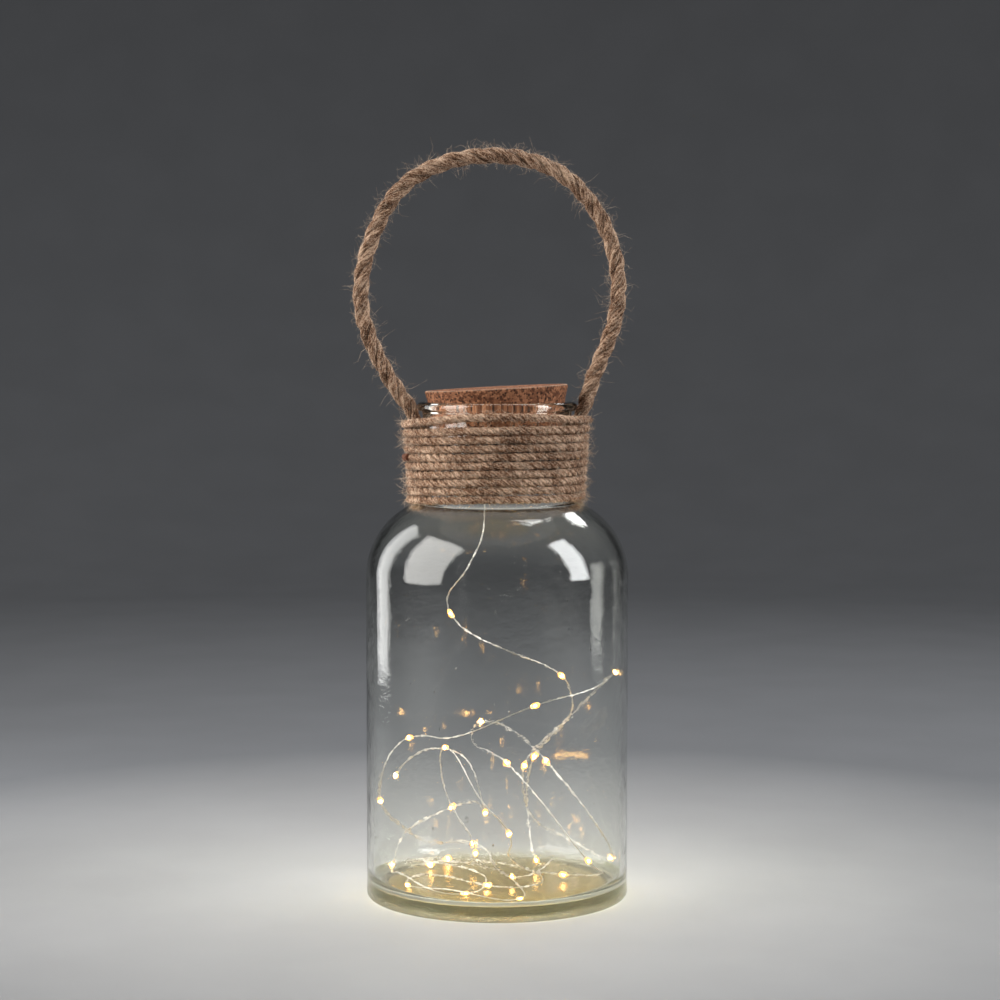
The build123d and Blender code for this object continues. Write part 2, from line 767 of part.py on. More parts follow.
# Each piece gets its name and its file
pieces = {
    "glass_jar": glass_jar,
    "cork_stopper": drilled_cork,
    "battery_case": battery_case,
    "case_screws": case_screws,
    "plate_contacts": plate_contacts,
    "spring_contacts": spring_contacts,
    "circuit_board": circuit_board,
    "board_parts": board_parts,
    "switch_body": switch_body,
    "switch_knob": switch_knob,
    "battery_cover": battery_cover,
    "cover_screws": cover_screws,
    "wire_grommet": wire_grommet,
    "hookup_wires": hookup_wires,
    "string_wire": string_wire,
    "string_lead": string_lead,
    "led_drops": led_drops,
    "led_chips": led_chips,
    "rope_handle": rope_handle,
    "rope_tail_left": rope_tails[-1],
    "rope_tail_right": rope_tails[1],
    "neck_winding": neck_winding,
}
for number, cell in enumerate(cells, start=1):
    pieces[f"battery_cell_{number}"] = cell

os.makedirs("parts", exist_ok=True)
for name, piece in pieces.items():
    piece.part.label = name
    export_step(piece.part, f"parts/{name}.step")


# Measures of the cords, printed for the report
def tube_report(name, piece, line, radii, radius):
    """Prints a tube's length, its smallest radius and its volume against its line."""
    volume_share = piece.part.volume / (math.pi * radius**2 * line.length)
    print(name, "length", round(line.length, 1), "volume share", round(volume_share, 4))
    print(name, "least radius", round(min(radii), 1), "in diameters", round(min(radii) / (2 * radius), 1))


tube_report("string_wire", string_wire, string_line.wire(), turn_radii(string_points), wire_r)
tube_report("string_lead", string_lead, lead_line.wire(), turn_radii(lead_route), wire_r)
tube_report("rope_handle", rope_handle, handle_line.wire(), handle_radii, rope_r)
tube_report("neck_winding", neck_winding, twine_line.wire(), [twine_ring_r], twine_r)

# Two arcs make a quarter turn, so points more than half a turn apart are compared
arcs_in_half_turn = 4
turn_samples = []
for index, edge in enumerate(twine_line.wire().edges()):
    for step in range(gap_samples):
        turn_samples.append((index + step / gap_samples, edge.position_at(step / gap_samples)))
nearest_turns = min(
    (second - first).length
    for place, first in turn_samples
    for other, second in turn_samples
    if other - place > arcs_in_half_turn
)
print("neck_winding least gap to itself", round(nearest_turns - twine_diameter, 3))
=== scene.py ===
import logging
import math
from dataclasses import dataclass, replace
from enum import Enum

import bpy
import numpy as np
from mathutils import Matrix, Vector, noise


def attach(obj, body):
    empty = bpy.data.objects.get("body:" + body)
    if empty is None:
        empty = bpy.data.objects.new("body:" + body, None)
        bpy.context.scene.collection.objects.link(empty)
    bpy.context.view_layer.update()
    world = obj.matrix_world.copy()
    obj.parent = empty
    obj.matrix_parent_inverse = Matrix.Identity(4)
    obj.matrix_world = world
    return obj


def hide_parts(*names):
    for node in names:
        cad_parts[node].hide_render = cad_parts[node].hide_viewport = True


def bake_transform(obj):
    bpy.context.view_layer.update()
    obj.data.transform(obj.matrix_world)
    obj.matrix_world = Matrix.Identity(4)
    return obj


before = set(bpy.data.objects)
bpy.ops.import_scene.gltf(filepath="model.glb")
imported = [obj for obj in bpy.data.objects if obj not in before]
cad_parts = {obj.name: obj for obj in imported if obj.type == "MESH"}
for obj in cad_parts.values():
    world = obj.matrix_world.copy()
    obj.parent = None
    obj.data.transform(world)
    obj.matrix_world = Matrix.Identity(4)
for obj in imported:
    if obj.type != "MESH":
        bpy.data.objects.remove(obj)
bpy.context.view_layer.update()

MM = 0.001
TURN = 2 * math.pi
RIM_Z = 259.07
LEAN = math.radians(2.9)
LOG = logging.getLogger("bottle_light")

Colour = tuple[float, float, float]
Place = tuple[float, float, float]
Flat = tuple[float, float]
Table = tuple[Flat, ...]
Zone = tuple[float, float]


class Body(Enum):
    """The CAD bodies that pieces ride on."""

    JAR = "jar"
    HANDLE = "handle"
    STOPPER = "stopper"


class Slot(Enum):
    """The material slots of the record. No piece is given one here; they only pick which new pieces are
    shaded smooth.
    """

    GLASS = "glass"
    CORK = "cork"
    ROPE = "rope"
    TWINE = "twine"
    WIRE = "wire"
    DROP = "drop"
    LIGHT = "light"


# Node sheets


class Wired:
    """An output socket. Arithmetic on it adds Math nodes to its sheet."""

    def __init__(self, sheet: "NodeSheet", socket: bpy.types.NodeSocket) -> None:
        """Keep the socket and the sheet it is on."""
        self.sheet = sheet
        self.socket = socket

    def other(self, name: str) -> "Wired":
        """Return another output of the same node."""
        return Wired(self.sheet, self.sheet.pick(self.socket.node.outputs, name))

    def math(self, operation: str, *values: object) -> "Wired":
        """Add one Math node.

        Args:
            operation: The node's operation.
            values: Its first, second and third values or links.

        Returns:
            The node's result.
        """
        return self.sheet.add("ShaderNodeMath", {"operation": operation}, dict(enumerate(values)))

    def __add__(self, other: object) -> "Wired":
        """Return the sum."""
        return self.math("ADD", self, other)

    __radd__ = __add__

    def __sub__(self, other: object) -> "Wired":
        """Return the difference."""
        return self.math("SUBTRACT", self, other)

    def __rsub__(self, other: object) -> "Wired":
        """Return the difference from a number."""
        return self.math("SUBTRACT", other, self)

    def __mul__(self, other: object) -> "Wired":
        """Return the product."""
        return self.math("MULTIPLY", self, other)

    __rmul__ = __mul__

    def __truediv__(self, other: object) -> "Wired":
        """Return the quotient."""
        return self.math("DIVIDE", self, other)

    def __rtruediv__(self, other: object) -> "Wired":
        """Return a number divided by this."""
        return self.math("DIVIDE", other, self)

    def __pow__(self, other: object) -> "Wired":
        """Return the power."""
        return self.math("POWER", self, other)

    def sine(self) -> "Wired":
        """Return the sine."""
        return self.math("SINE", self)

    def cosine(self) -> "Wired":
        """Return the cosine."""
        return self.math("COSINE", self)

    def unsigned(self) -> "Wired":
        """Return the distance from zero."""
        return self.math("ABSOLUTE", self)

    def above(self, low: float, high: float) -> "Wired":
        """Return 0 below low, 1 above high and a ramp between them."""
        feeds = {"Value": self, "From Min": low, "From Max": high}
        return self.sheet.add("ShaderNodeMapRange", {"clamp": True}, feeds)


class NodeSheet:
    """A node tree with one method that adds a node, sets it and feeds it."""

    def __init__(self, tree: bpy.types.NodeTree) -> None:
        """Keep the tree."""
        self.tree = tree

    @staticmethod
    def pick(sockets: object, key: int | str) -> bpy.types.NodeSocket:
        """Find a socket.

        Args:
            sockets: A node's inputs or outputs.
            key: Its place, or the name of one that is in use.

        Returns:
            The socket.
        """
        if isinstance(key, int):
            return sockets[key]
        return next(s for s in sockets if s.name == key and s.enabled)

    def add(
        self,
        kind: str,
        settings: dict[str, object] | None = None,
        feeds: dict[int | str, object] | None = None,
        out: int | str = 0,
    ) -> Wired:
        """Add one node.

        Args:
            kind: The node's type.
            settings: Its properties, set first. The key stops fills a colour ramp.
            feeds: Values or links for its inputs, by name or place.
            out: The output to return.

        Returns:
            The output that was asked for.
        """
        node = self.tree.nodes.new(kind)
        for name, value in (settings or {}).items():
            if name == "stops":
                self._fill_ramp(node.color_ramp, value)
            else:
                setattr(node, name, value)
        for key, value in (feeds or {}).items():
            socket = self.pick(node.inputs, key)
            if isinstance(value, Wired):
                self.tree.links.new(value.socket, socket)
            else:
                socket.default_value = value
        return Wired(self, self.pick(node.outputs, out))

    @staticmethod
    def _fill_ramp(ramp: bpy.types.ColorRamp, stops: list[tuple[float, Colour]]) -> None:
        """Give a ramp its stops.

        Args:
            ramp: The ramp of a new node.
            stops: Each stop's place and colour.
        """
        while len(ramp.elements) < len(stops):
            ramp.elements.new(1.0)
        for element, (place, colour) in zip(ramp.elements, stops):
            element.position = place
            element.color = (*colour, 1.0)

    def vector(self, operation: str, *values: object, out: str = "Vector") -> Wired:
        """Add one Vector Math node on the values given in order."""
        feeds = dict(enumerate(values))
        return self.add("ShaderNodeVectorMath", {"operation": operation}, feeds, out)

    def scaled(self, vector: Wired, factor: object) -> Wired:
        """Return a vector times a number."""
        feeds = {"Vector": vector, "Scale": factor}
        return self.add("ShaderNodeVectorMath", {"operation": "SCALE"}, feeds, "Vector")

    def joined(self, x: object, y: object, z: object) -> Wired:
        """Return a vector made of three numbers."""
        return self.add("ShaderNodeCombineXYZ", {}, {"X": x, "Y": y, "Z": z})

    def noise(self, vector: object, scale: float, detail: float = 2.0, rough: float = 0.5) -> Wired:
        """Return a noise texture's value at a vector."""
        feeds = {"Vector": vector, "Scale": scale, "Detail": detail, "Roughness": rough}
        return self.add("ShaderNodeTexNoise", {}, feeds)

    def ramp(self, value: Wired, stops: list[tuple[float, Colour]]) -> Wired:
        """Return the colour of a ramp at a value."""
        return self.add("ShaderNodeValToRGB", {"stops": stops}, {"Fac": value}, "Color")

    def mixed(self, share: object, first: object, second: object) -> Wired:
        """Mix two colours.

        Args:
            share: How much of the second is used.
            first: The first colour.
            second: The second colour.

        Returns:
            The mixed colour.
        """
        colours = [c if isinstance(c, Wired) else (*c, 1.0) for c in (first, second)]
        feeds = {"Factor": share, "A": colours[0], "B": colours[1]}
        return self.add("ShaderNodeMix", {"data_type": "RGBA"}, feeds, "Result")


# Finishes


class Surface(NodeSheet):
    """The node sheet of one material."""

    def place(self) -> Wired:
        """Return the place on the object in millimetres."""
        coordinates = self.add("ShaderNodeTexCoord", {}, {}, "Object")
        return self.scaled(coordinates, 1 / MM)

    def attribute(self, name: str, out: str = "Vector") -> Wired:
        """Return an attribute of the mesh."""
        return self.add("ShaderNodeAttribute", {"attribute_name": name}, {}, out)

    def bump(self, height: Wired, depth: float, strength: float = 1.0) -> Wired:
        """Return the normal that a height map gives, its depth in metres."""
        feeds = {"Height": height, "Distance": depth, "Strength": strength}
        return self.add("ShaderNodeBump", {}, feeds, "Normal")

    def principled(self, feeds: dict[str, object]) -> Wired:
        """Return a Principled shader."""
        return self.add("ShaderNodeBsdfPrincipled", {}, feeds, "BSDF")

    def clear_to_lamps(self, shader: Wired, tint: Colour) -> Wired:
        """Return a shader that lets the lamps' light through without a shadow.

        Args:
            shader: The shader that the eye sees.
            tint: What the light is tinted with.

        Returns:
            The mixed shader.
        """
        clear = self.add("ShaderNodeBsdfTransparent", {}, {"Color": (*tint, 1.0)})
        lamp_ray = self.add("ShaderNodeLightPath", {}, {}, "Is Shadow Ray")
        return self.add("ShaderNodeMixShader", {}, {0: lamp_ray, 1: shader, 2: clear})

    def from_axis(self, place: Wired) -> Wired:
        """Return a place's distance from the object's Z axis."""
        flat = self.vector("MULTIPLY", place, (1.0, 1.0, 0.0))
        return self.vector("LENGTH", flat, out="Value")


@dataclass(frozen=True)
class Finish:
    """A surface finish that paints the nodes of one material."""

    name: str

    def paint(self, sheet: Surface) -> Wired:
        """Add the finish's nodes and return its shader."""
        raise NotImplementedError

    def fill(self, sheet: Surface) -> Wired | None:
        """Return the shader of the inside, where the finish has one."""
        return None

    def material(self) -> bpy.types.Material:
        """Make the material.

        Returns:
            The material with the finish's nodes.
        """
        found = bpy.data.materials.get(self.name)
        if found:
            return found
        made = bpy.data.materials.new(self.name)
        made.use_nodes = True
        made.node_tree.nodes.clear()
        sheet = Surface(made.node_tree)
        output = made.node_tree.nodes.new("ShaderNodeOutputMaterial")
        made.node_tree.links.new(self.paint(sheet).socket, output.inputs["Surface"])
        inside = self.fill(sheet)
        if inside:
            made.node_tree.links.new(inside.socket, output.inputs["Volume"])
        return made


@dataclass(frozen=True)
class JuteFinish(Finish):
    """Twisted jute: streaks of pale and brown fibres that follow the strands."""

    dark: Colour
    mid: Colour
    pale: Colour
    streak_scale: float
    depth: float
    thread_finer: float = 2.6
    blotch_scale: float = 0.09
    fleck_scale: float = 1.4
    spark_scale: float = 1.5
    spark_shift: Place = (31.0, 7.0, 13.0)
    tone_stops: tuple[float, ...] = (0.38, 0.485, 0.585)
    fleck_zone: Zone = (0.57, 0.64)
    spark_zone: Zone = (0.55, 0.64)
    fleck_share: float = 0.85
    spark_share: float = 0.7
    painted_shade_share: float = 0.78

    def paint(self, sheet: Surface) -> Wired:
        """Add streaks, flecks, blotches and painted shade between the strands to a dull shader.

        Args:
            sheet: The material's sheet.

        Returns:
            The shader.
        """
        lay = sheet.attribute("lay")
        place = sheet.place()
        streak = sheet.noise(lay, self.streak_scale, 3.0, 0.62)
        thread = sheet.noise(lay, self.streak_scale * self.thread_finer, 3.0, 0.65)
        blotch = sheet.noise(place, self.blotch_scale, 2.0)
        fleck = sheet.noise(place, self.fleck_scale, 2.0, 0.7)
        shifted = sheet.vector("ADD", place, self.spark_shift)
        spark = sheet.noise(shifted, self.spark_scale, 2.0, 0.7)
        tone = streak * 0.5 + thread * 0.5 + (blotch - 0.5) * 0.3
        stops = list(zip(self.tone_stops, (self.dark, self.mid, self.pale)))
        colour = sheet.ramp(tone, stops)
        sparks = spark.above(*self.spark_zone) * self.spark_share
        colour = sheet.mixed(sparks, colour, self.pale)
        flecks = fleck.above(*self.fleck_zone) * self.fleck_share
        colour = sheet.mixed(flecks, colour, self.dark)
        # Painted shade: darker where a strand faces in towards the others.
        groove = sheet.attribute("groove", "Fac") * self.painted_shade_share
        colour = sheet.mixed(groove, colour, self.dark)
        height = streak * 0.6 + thread * 0.4
        return sheet.principled(
            {
                "Base Color": colour,
                "Roughness": 0.82 + 0.14 * thread,
                "Normal": sheet.bump(height, self.depth, 0.9),
                "Sheen Weight": 0.08,
                "Sheen Roughness": 0.5,
                "Sheen Tint": (1.0, 0.88, 0.72, 1.0),
                "Specular IOR Level": 0.25,
            }
        )


@dataclass(frozen=True)
class LooseFibreFinish(Finish):
    """Single loose jute fibres, some pale and some brown."""

    dark: Colour
    pale: Colour

    def paint(self, sheet: Surface) -> Wired:
        """Colour each fibre by where it stands.

        Args:
            sheet: The material's sheet.

        Returns:
            The shader.
        """
        change = sheet.noise(sheet.place(), 0.45, 1.0)
        return sheet.principled(
            {
                "Base Color": sheet.mixed(change.above(0.35, 0.65), self.dark, self.pale),
                "Roughness": 0.62 + 0.2 * change,
                "Sheen Weight": 0.3,
                "Sheen Tint": (1.0, 0.9, 0.75, 1.0),
                "Specular IOR Level": 0.35,
            }
        )


@dataclass(frozen=True)
class GlassFinish(Finish):
    """Blown glass with a tint that deepens where the glass is thick; the amber of the thick floor is partly
    the glass's colour and partly painted warm glow and shade.
    """

    tint: Colour
    inner: Colour
    density: float
    ripple: float
    foot_tint_and_glow: Colour = (0.86, 0.7, 0.38)
    foot_zone: Zone = (3.0, 8.0)
    deep_zone: Zone = (7.5, 12.0)
    heel_zone: Zone = (57.0, 67.0)
    neck_zone: Zone = (200.0, 214.0)
    smear_zone: Zone = (0.58, 0.85)
    wave_scale: float = 0.06
    fine_scale: float = 0.5
    foot_grain_scale: float = 0.7
    smear_scale: float = 0.16

    def paint(self, sheet: Surface) -> Wired:
        """Add faint ripples, smears and a pressed foot to clear glass that lets lamps through.

        Args:
            sheet: The material's sheet.

        Returns:
            The shader.
        """
        place = sheet.place()
        ringed = sheet.vector("MULTIPLY", place, (0.65, 0.65, 1.0))
        waves = sheet.noise(ringed, self.wave_scale, 2.0, 0.5)
        ripples = 0.45 * waves + 0.08 * sheet.noise(ringed, self.fine_scale, 2.0, 0.6)
        height = sheet.add("ShaderNodeSeparateXYZ", {}, {"Vector": place}, "Z")
        foot = 1 - height.above(*self.foot_zone)
        ripples = ripples * (1 - 0.85 * height.above(*self.neck_zone))
        ripples = ripples + foot * 1.6 * sheet.noise(place, self.foot_grain_scale, 3.0, 0.65)
        away = sheet.from_axis(place)
        deep = (1 - height.above(*self.deep_zone)) * (1 - away.above(*self.heel_zone))
        drawn_up = sheet.vector("MULTIPLY", place, (1.0, 1.0, 0.35))
        smear = sheet.noise(drawn_up, self.smear_scale, 4.0, 0.65)
        glass = sheet.principled(
            {
                # Painted light: the amber in the thick floor is partly the glass's colour and partly the
                # lights' warm glow and shade.
                "Base Color": sheet.mixed(deep, self.tint, self.foot_tint_and_glow),
                "Roughness": 0.05 * smear.above(*self.smear_zone) + 0.12 * foot,
                "IOR": 1.5,
                "Transmission Weight": 1.0,
                "Normal": sheet.bump(ripples, self.ripple),
            }
        )
        return sheet.clear_to_lamps(glass, self.tint)

    def fill(self, sheet: Surface) -> Wired:
        """Let the glass absorb a little light inside."""
        feeds = {"Color": (*self.inner, 1.0), "Density": self.density}
        return sheet.add("ShaderNodeVolumeAbsorption", {}, feeds)


@dataclass(frozen=True)
class BubbleFinish(Finish):
    """Air held in the glass: light bends the other way at its skin."""

    def paint(self, sheet: Surface) -> Wired:
        """Return a clear shader with the index of air in glass.

        Args:
            sheet: The material's sheet.

        Returns:
            The shader.
        """
        skin = sheet.noise(sheet.place(), 3.0, 1.0)
        bubble = sheet.principled(
            {
                "Base Color": (1.0, 1.0, 1.0, 1.0),
                "Roughness": 0.02 * skin,
                "IOR": 0.667,
                "Transmission Weight": 1.0,
            }
        )
        return sheet.clear_to_lamps(bubble, (1.0, 1.0, 1.0))


@dataclass(frozen=True)
class CorkFinish(Finish):
    """Pressed cork: granules of several browns, dark specks and open seams."""

    deep: Colour
    brown: Colour
    light: Colour
    rim: Colour
    granule_scale: float = 0.8
    pore_scale: float = 1.35
    fine_scale: float = 4.2
    speck_scale: float = 0.52
    tone_stops: tuple[float, ...] = (0.05, 0.36, 0.72)
    pore_zone: Zone = (0.58, 0.66)
    speck_zone: Zone = (0.24, 0.34)
    depth: float = 0.00022

    def paint(self, sheet: Surface) -> Wired:
        """Add granules, specks and the pale worn rim.

        Args:
            sheet: The material's sheet.

        Returns:
            The shader.
        """
        place = sheet.place()
        bent = sheet.vector("ADD", place, sheet.scaled(self._wander(sheet, place), 0.55))
        cells = {"Vector": bent, "Scale": self.granule_scale, "Randomness": 1.0}
        grain = sheet.add("ShaderNodeTexVoronoi", {}, cells, "Color")
        value = sheet.add("ShaderNodeSeparateColor", {}, {"Color": grain}, "Red")
        edge = {"feature": "DISTANCE_TO_EDGE"}
        seam = sheet.add("ShaderNodeTexVoronoi", edge, cells, "Distance")
        pore = sheet.noise(place, self.pore_scale, 3.0, 0.7)
        fine = sheet.noise(place, self.fine_scale, 2.0, 0.6)
        tone = value * 0.55 + fine * 0.45
        stops = list(zip(self.tone_stops, (self.deep, self.brown, self.light)))
        colour = sheet.ramp(tone, stops)
        colour = sheet.mixed(pore.above(*self.pore_zone) * 0.8, colour, self.deep)
        speck_feeds = {"Vector": bent, "Scale": self.speck_scale}
        speck = sheet.add("ShaderNodeTexVoronoi", {}, speck_feeds, "Distance")
        speck = 1 - speck.above(*self.speck_zone)
        colour = sheet.mixed(speck * 0.9, colour, self.deep)
        gap = 1 - seam.above(0.02, 0.1)
        colour = sheet.mixed(gap * 0.35, colour, self.deep)
        worn = sheet.attribute("worn", "Fac") * (0.15 + 0.85 * fine.above(0.45, 0.55))
        colour = sheet.mixed(worn, colour, self.rim)
        height = seam.above(0.0, 0.15) * 0.6 + fine * 0.25 - pore.above(0.6, 0.7) * 0.6
        return sheet.principled(
            {
                "Base Color": colour,
                "Roughness": 0.72 + 0.2 * fine,
                "Normal": sheet.bump(height, self.depth, 0.8),
                "Specular IOR Level": 0.3,
            }
        )

    @staticmethod
    def _wander(sheet: Surface, place: Wired) -> Wired:
        """Return a wandering vector that breaks straight cell walls."""
        return sheet.add("ShaderNodeTexNoise", {}, {"Vector": place, "Scale": 0.9}, "Color")


@dataclass(frozen=True)
class MetalFinish(Finish):
    """Bare or plated metal with fine rubbed marks."""

    tone: Colour
    rough: float
    mark_scale: float = 1.2
    mark_depth: float = 0.00003

    def paint(self, sheet: Surface) -> Wired:
        """Add small changes of gloss and tone.

        Args:
            sheet: The material's sheet.

        Returns:
            The shader.
        """
        place = sheet.place()
        drawn_out = sheet.vector("MULTIPLY", place, (1.0, 1.0, 4.0))
        marks = sheet.noise(drawn_out, self.mark_scale, 3.0, 0.6)
        darker = tuple(0.72 * c for c in self.tone)
        return sheet.principled(
            {
                "Base Color": sheet.mixed(marks.above(0.35, 0.7), darker, self.tone),
                "Metallic": 1.0,
                "Roughness": self.rough + 0.16 * marks,
                "Normal": sheet.bump(marks, self.mark_depth, 0.5),
            }
        )


@dataclass(frozen=True)
class ResinFinish(Finish):
    """Clear resin that a light shines through from inside, with a painted glow of its own."""

    tint: Colour
    glow: Colour
    glow_strength: float
    skin_scale: float = 0.9
    skin_depth: float = 0.0001

    def paint(self, sheet: Surface) -> Wired:
        """Add a wavy skin and a painted glow to clear resin that lets lamps through.

        Args:
            sheet: The material's sheet.

        Returns:
            The shader.
        """
        waves = sheet.noise(sheet.place(), self.skin_scale, 1.0)
        resin = sheet.principled(
            {
                "Base Color": (*self.tint, 1.0),
                "Roughness": 0.02 + 0.1 * waves.above(0.5, 0.8),
                "IOR": 1.48,
                "Transmission Weight": 1.0,
                # Painted glow: the resin itself emits, though only the chip is a lamp.
                "Emission Color": (*self.glow, 1.0),
                "Emission Strength": self.glow_strength,
                "Normal": sheet.bump(waves, self.skin_depth, 0.6),
            }
        )
        return sheet.clear_to_lamps(resin, self.tint)


@dataclass(frozen=True)
class LitFinish(Finish):
    """A lit chip, whiter in places."""

    base: Colour
    glow: Colour
    strength: float

    def paint(self, sheet: Surface) -> Wired:
        """Return a bright shader with small changes over the chip.

        Args:
            sheet: The material's sheet.

        Returns:
            The shader.
        """
        change = sheet.noise(sheet.place(), 2.2, 1.0)
        hotter = tuple(min(1.0, 0.35 + 0.75 * c) for c in self.glow)
        return sheet.principled(
            {
                "Base Color": (*self.base, 1.0),
                "Roughness": 0.5,
                "Emission Color": sheet.mixed(change.above(0.4, 0.6), self.glow, hotter),
                "Emission Strength": self.strength,
            }
        )


@dataclass(frozen=True)
class MouldedFinish(Finish):
    """Moulded plastic or rubber with a fine spark-eroded grain and dust."""

    tone: Colour
    rough: float
    grain: float = 3.5
    grain_depth: float = 0.00005
    dust_scale: float = 0.22

    def paint(self, sheet: Surface) -> Wired:
        """Add grain and a little dust.

        Args:
            sheet: The material's sheet.

        Returns:
            The shader.
        """
        place = sheet.place()
        grain = sheet.noise(place, self.grain, 3.0, 0.6)
        dust = sheet.noise(place, self.dust_scale, 3.0, 0.7).above(0.55, 0.8)
        dusty = tuple(0.06 + 0.85 * c for c in self.tone)
        return sheet.principled(
            {
                "Base Color": sheet.mixed(dust, self.tone, dusty),
                "Roughness": self.rough + 0.12 * grain + 0.1 * dust,
                "Normal": sheet.bump(grain, self.grain_depth, 0.4),
            }
        )


@dataclass(frozen=True)
class BoardFinish(Finish):
    """Solder mask over copper tracks, with tinned pads."""

    mask: Colour
    copper: Colour
    tin: Colour
    track_scale: float = 0.5
    pad_scale: float = 0.45
    pad_zone: Zone = (0.16, 0.2)
    track_depth: float = 0.00004

    def paint(self, sheet: Surface) -> Wired:
        """Add tracks and pads to a glossy mask.

        Args:
            sheet: The material's sheet.

        Returns:
            The shader.
        """
        place = sheet.place()
        tracks_feeds = {
            "Vector": place,
            "Scale": self.track_scale,
            "Mortar Size": 0.12,
            "Brick Width": 1.6,
            "Row Height": 0.7,
        }
        tracks = sheet.add("ShaderNodeTexBrick", {}, tracks_feeds, "Fac")
        pads_feeds = {"Vector": place, "Scale": self.pad_scale}
        pads = sheet.add("ShaderNodeTexVoronoi", {}, pads_feeds, "Distance")
        pad = 1 - pads.above(*self.pad_zone)
        colour = sheet.mixed(tracks * 0.5, self.mask, self.copper)
        colour = sheet.mixed(pad, colour, self.tin)
        return sheet.principled(
            {
                "Base Color": colour,
                "Roughness": 0.28 + 0.2 * pad,
                "Metallic": 0.8 * pad,
                "Coat Weight": 0.5 * (1 - pad),
                "Normal": sheet.bump(tracks, self.track_depth, 0.5),
            }
        )


@dataclass(frozen=True)
class CellWrapFinish(Finish):
    """A dry cell: a dark sleeve with one coloured band and bare steel ends."""

    origin: Place
    along: Place
    half: float
    nub_side: float
    sleeve: Colour = (0.025, 0.027, 0.03)
    band: Colour = (0.58, 0.3, 0.07)
    steel: Colour = (0.72, 0.71, 0.7)
    rubbed: Colour = (0.4, 0.4, 0.4)
    band_edge: Zone = (14.4, 14.2)
    nub_edge: Zone = (1.15, 1.05)
    flat_edge: Zone = (0.5, 0.4)
    scuff_scale: float = 0.8
    scuff_depth: float = 0.00003

    def _past(self, reach: Wired, edge: Zone) -> Wired:
        """Return 1 beyond an edge that is given by its depth below the cell's end."""
        return reach.above(self.half - edge[0], self.half - edge[1])

    def paint(self, sheet: Surface) -> Wired:
        """Set the band and the steel ends by the place along the cell.

        Args:
            sheet: The material's sheet.

        Returns:
            The shader.
        """
        place = sheet.place()
        away = sheet.vector("SUBTRACT", place, self.origin)
        reach = sheet.vector("DOT_PRODUCT", away, self.along, out="Value") * self.nub_side
        band = self._past(reach, self.band_edge)
        steel = self._past(reach, self.nub_edge) + self._past(-1 * reach, self.flat_edge)
        scuff = sheet.noise(place, self.scuff_scale, 3.0, 0.65)
        colour = sheet.mixed(band, self.sleeve, self.band)
        colour = sheet.mixed(steel, colour, self.steel)
        return sheet.principled(
            {
                "Base Color": sheet.mixed(scuff.above(0.6, 0.8) * 0.25, colour, self.rubbed),
                "Roughness": 0.24 + 0.22 * scuff,
                "Metallic": steel,
                "Coat Weight": 0.4 * (1 - steel),
                "Normal": sheet.bump(scuff, self.scuff_depth, 0.4),
            }
        )


@dataclass(frozen=True)
class StudioFinish(Finish):
    """The floor, pale in a painted pool of light round the object, which runs into a greyer wall all round,
    with painted shade beside and before it.
    """

    tone: Colour
    wall: Colour
    fade: Zone = (60.0, 460.0)
    painted_side_shade: Colour = (0.02, 0.02, 0.022)
    painted_side_zone: Zone = (850.0, 1250.0)
    painted_front_zone: Zone = (1400.0, 1700.0)
    mottle_scale: float = 0.012
    mottle_share: float = 0.05

    def paint(self, sheet: Surface) -> Wired:
        """Return a dull shader with a painted pool of light that greys away from the object, and painted
        shade beside and before it.

        Args:
            sheet: The material's sheet.

        Returns:
            The shader.
        """
        place = sheet.place()
        away = sheet.from_axis(place)
        mottle = sheet.noise(place, self.mottle_scale, 3.0)
        # Painted pool of light: pale near the object, greying into the wall tone further out.
        colour = sheet.mixed(away.above(*self.fade), self.tone, self.wall)
        across = sheet.add("ShaderNodeSeparateXYZ", {}, {"Vector": place}, "X")
        # Painted shade: the sweep is near black beside the object and in front of it.
        side_shade_mask = across.unsigned().above(*self.painted_side_zone)
        front = (-1 * across.other("Y")).above(*self.painted_front_zone)
        colour = sheet.mixed(side_shade_mask.math("MAXIMUM", side_shade_mask, front), colour, self.painted_side_shade)
        darker = sheet.mixed(self.mottle_share, colour, (0.0, 0.0, 0.0))
        return sheet.principled(
            {
                "Base Color": sheet.mixed(mottle.above(0.35, 0.65), colour, darker),
                "Roughness": 0.75,
                "Specular IOR Level": 0.2,
            }
        )


TWINE_JUTE = JuteFinish(
    "twine_jute", (0.06, 0.02, 0.008), (0.29, 0.138, 0.068), (0.88, 0.63, 0.45), 1.1, 0.0009
)
ROPE_JUTE = JuteFinish(
    "rope_jute", (0.04, 0.015, 0.006), (0.235, 0.12, 0.066), (0.66, 0.46, 0.32), 0.85, 0.001
)
LOOSE_FIBRE = LooseFibreFinish("loose_fibre", (0.3, 0.18, 0.11), (0.8, 0.64, 0.49))
JAR_GLASS = GlassFinish("jar_glass", (0.985, 0.99, 0.988), (0.66, 0.7, 0.26), 14.0, 0.00045)
AIR = BubbleFinish("air_in_glass")
CORK = CorkFinish(
    "pressed_cork", (0.018, 0.007, 0.004), (0.2, 0.072, 0.032), (0.48, 0.21, 0.106), (0.6, 0.44, 0.32)
)
SILVER_WIRE = MetalFinish("silver_wire", (0.93, 0.9, 0.84), 0.26, 0.5)
RESIN = ResinFinish("clear_resin", (1.0, 0.8, 0.45), (1.0, 0.43, 0.06), 1.35)
LIT_CHIP = LitFinish("lit_chip", (1.0, 0.86, 0.58), (1.0, 0.6, 0.19), 62.0)
BARK = MouldedFinish("bark", (0.2, 0.075, 0.04), 0.7, 1.4)


# Growth trees


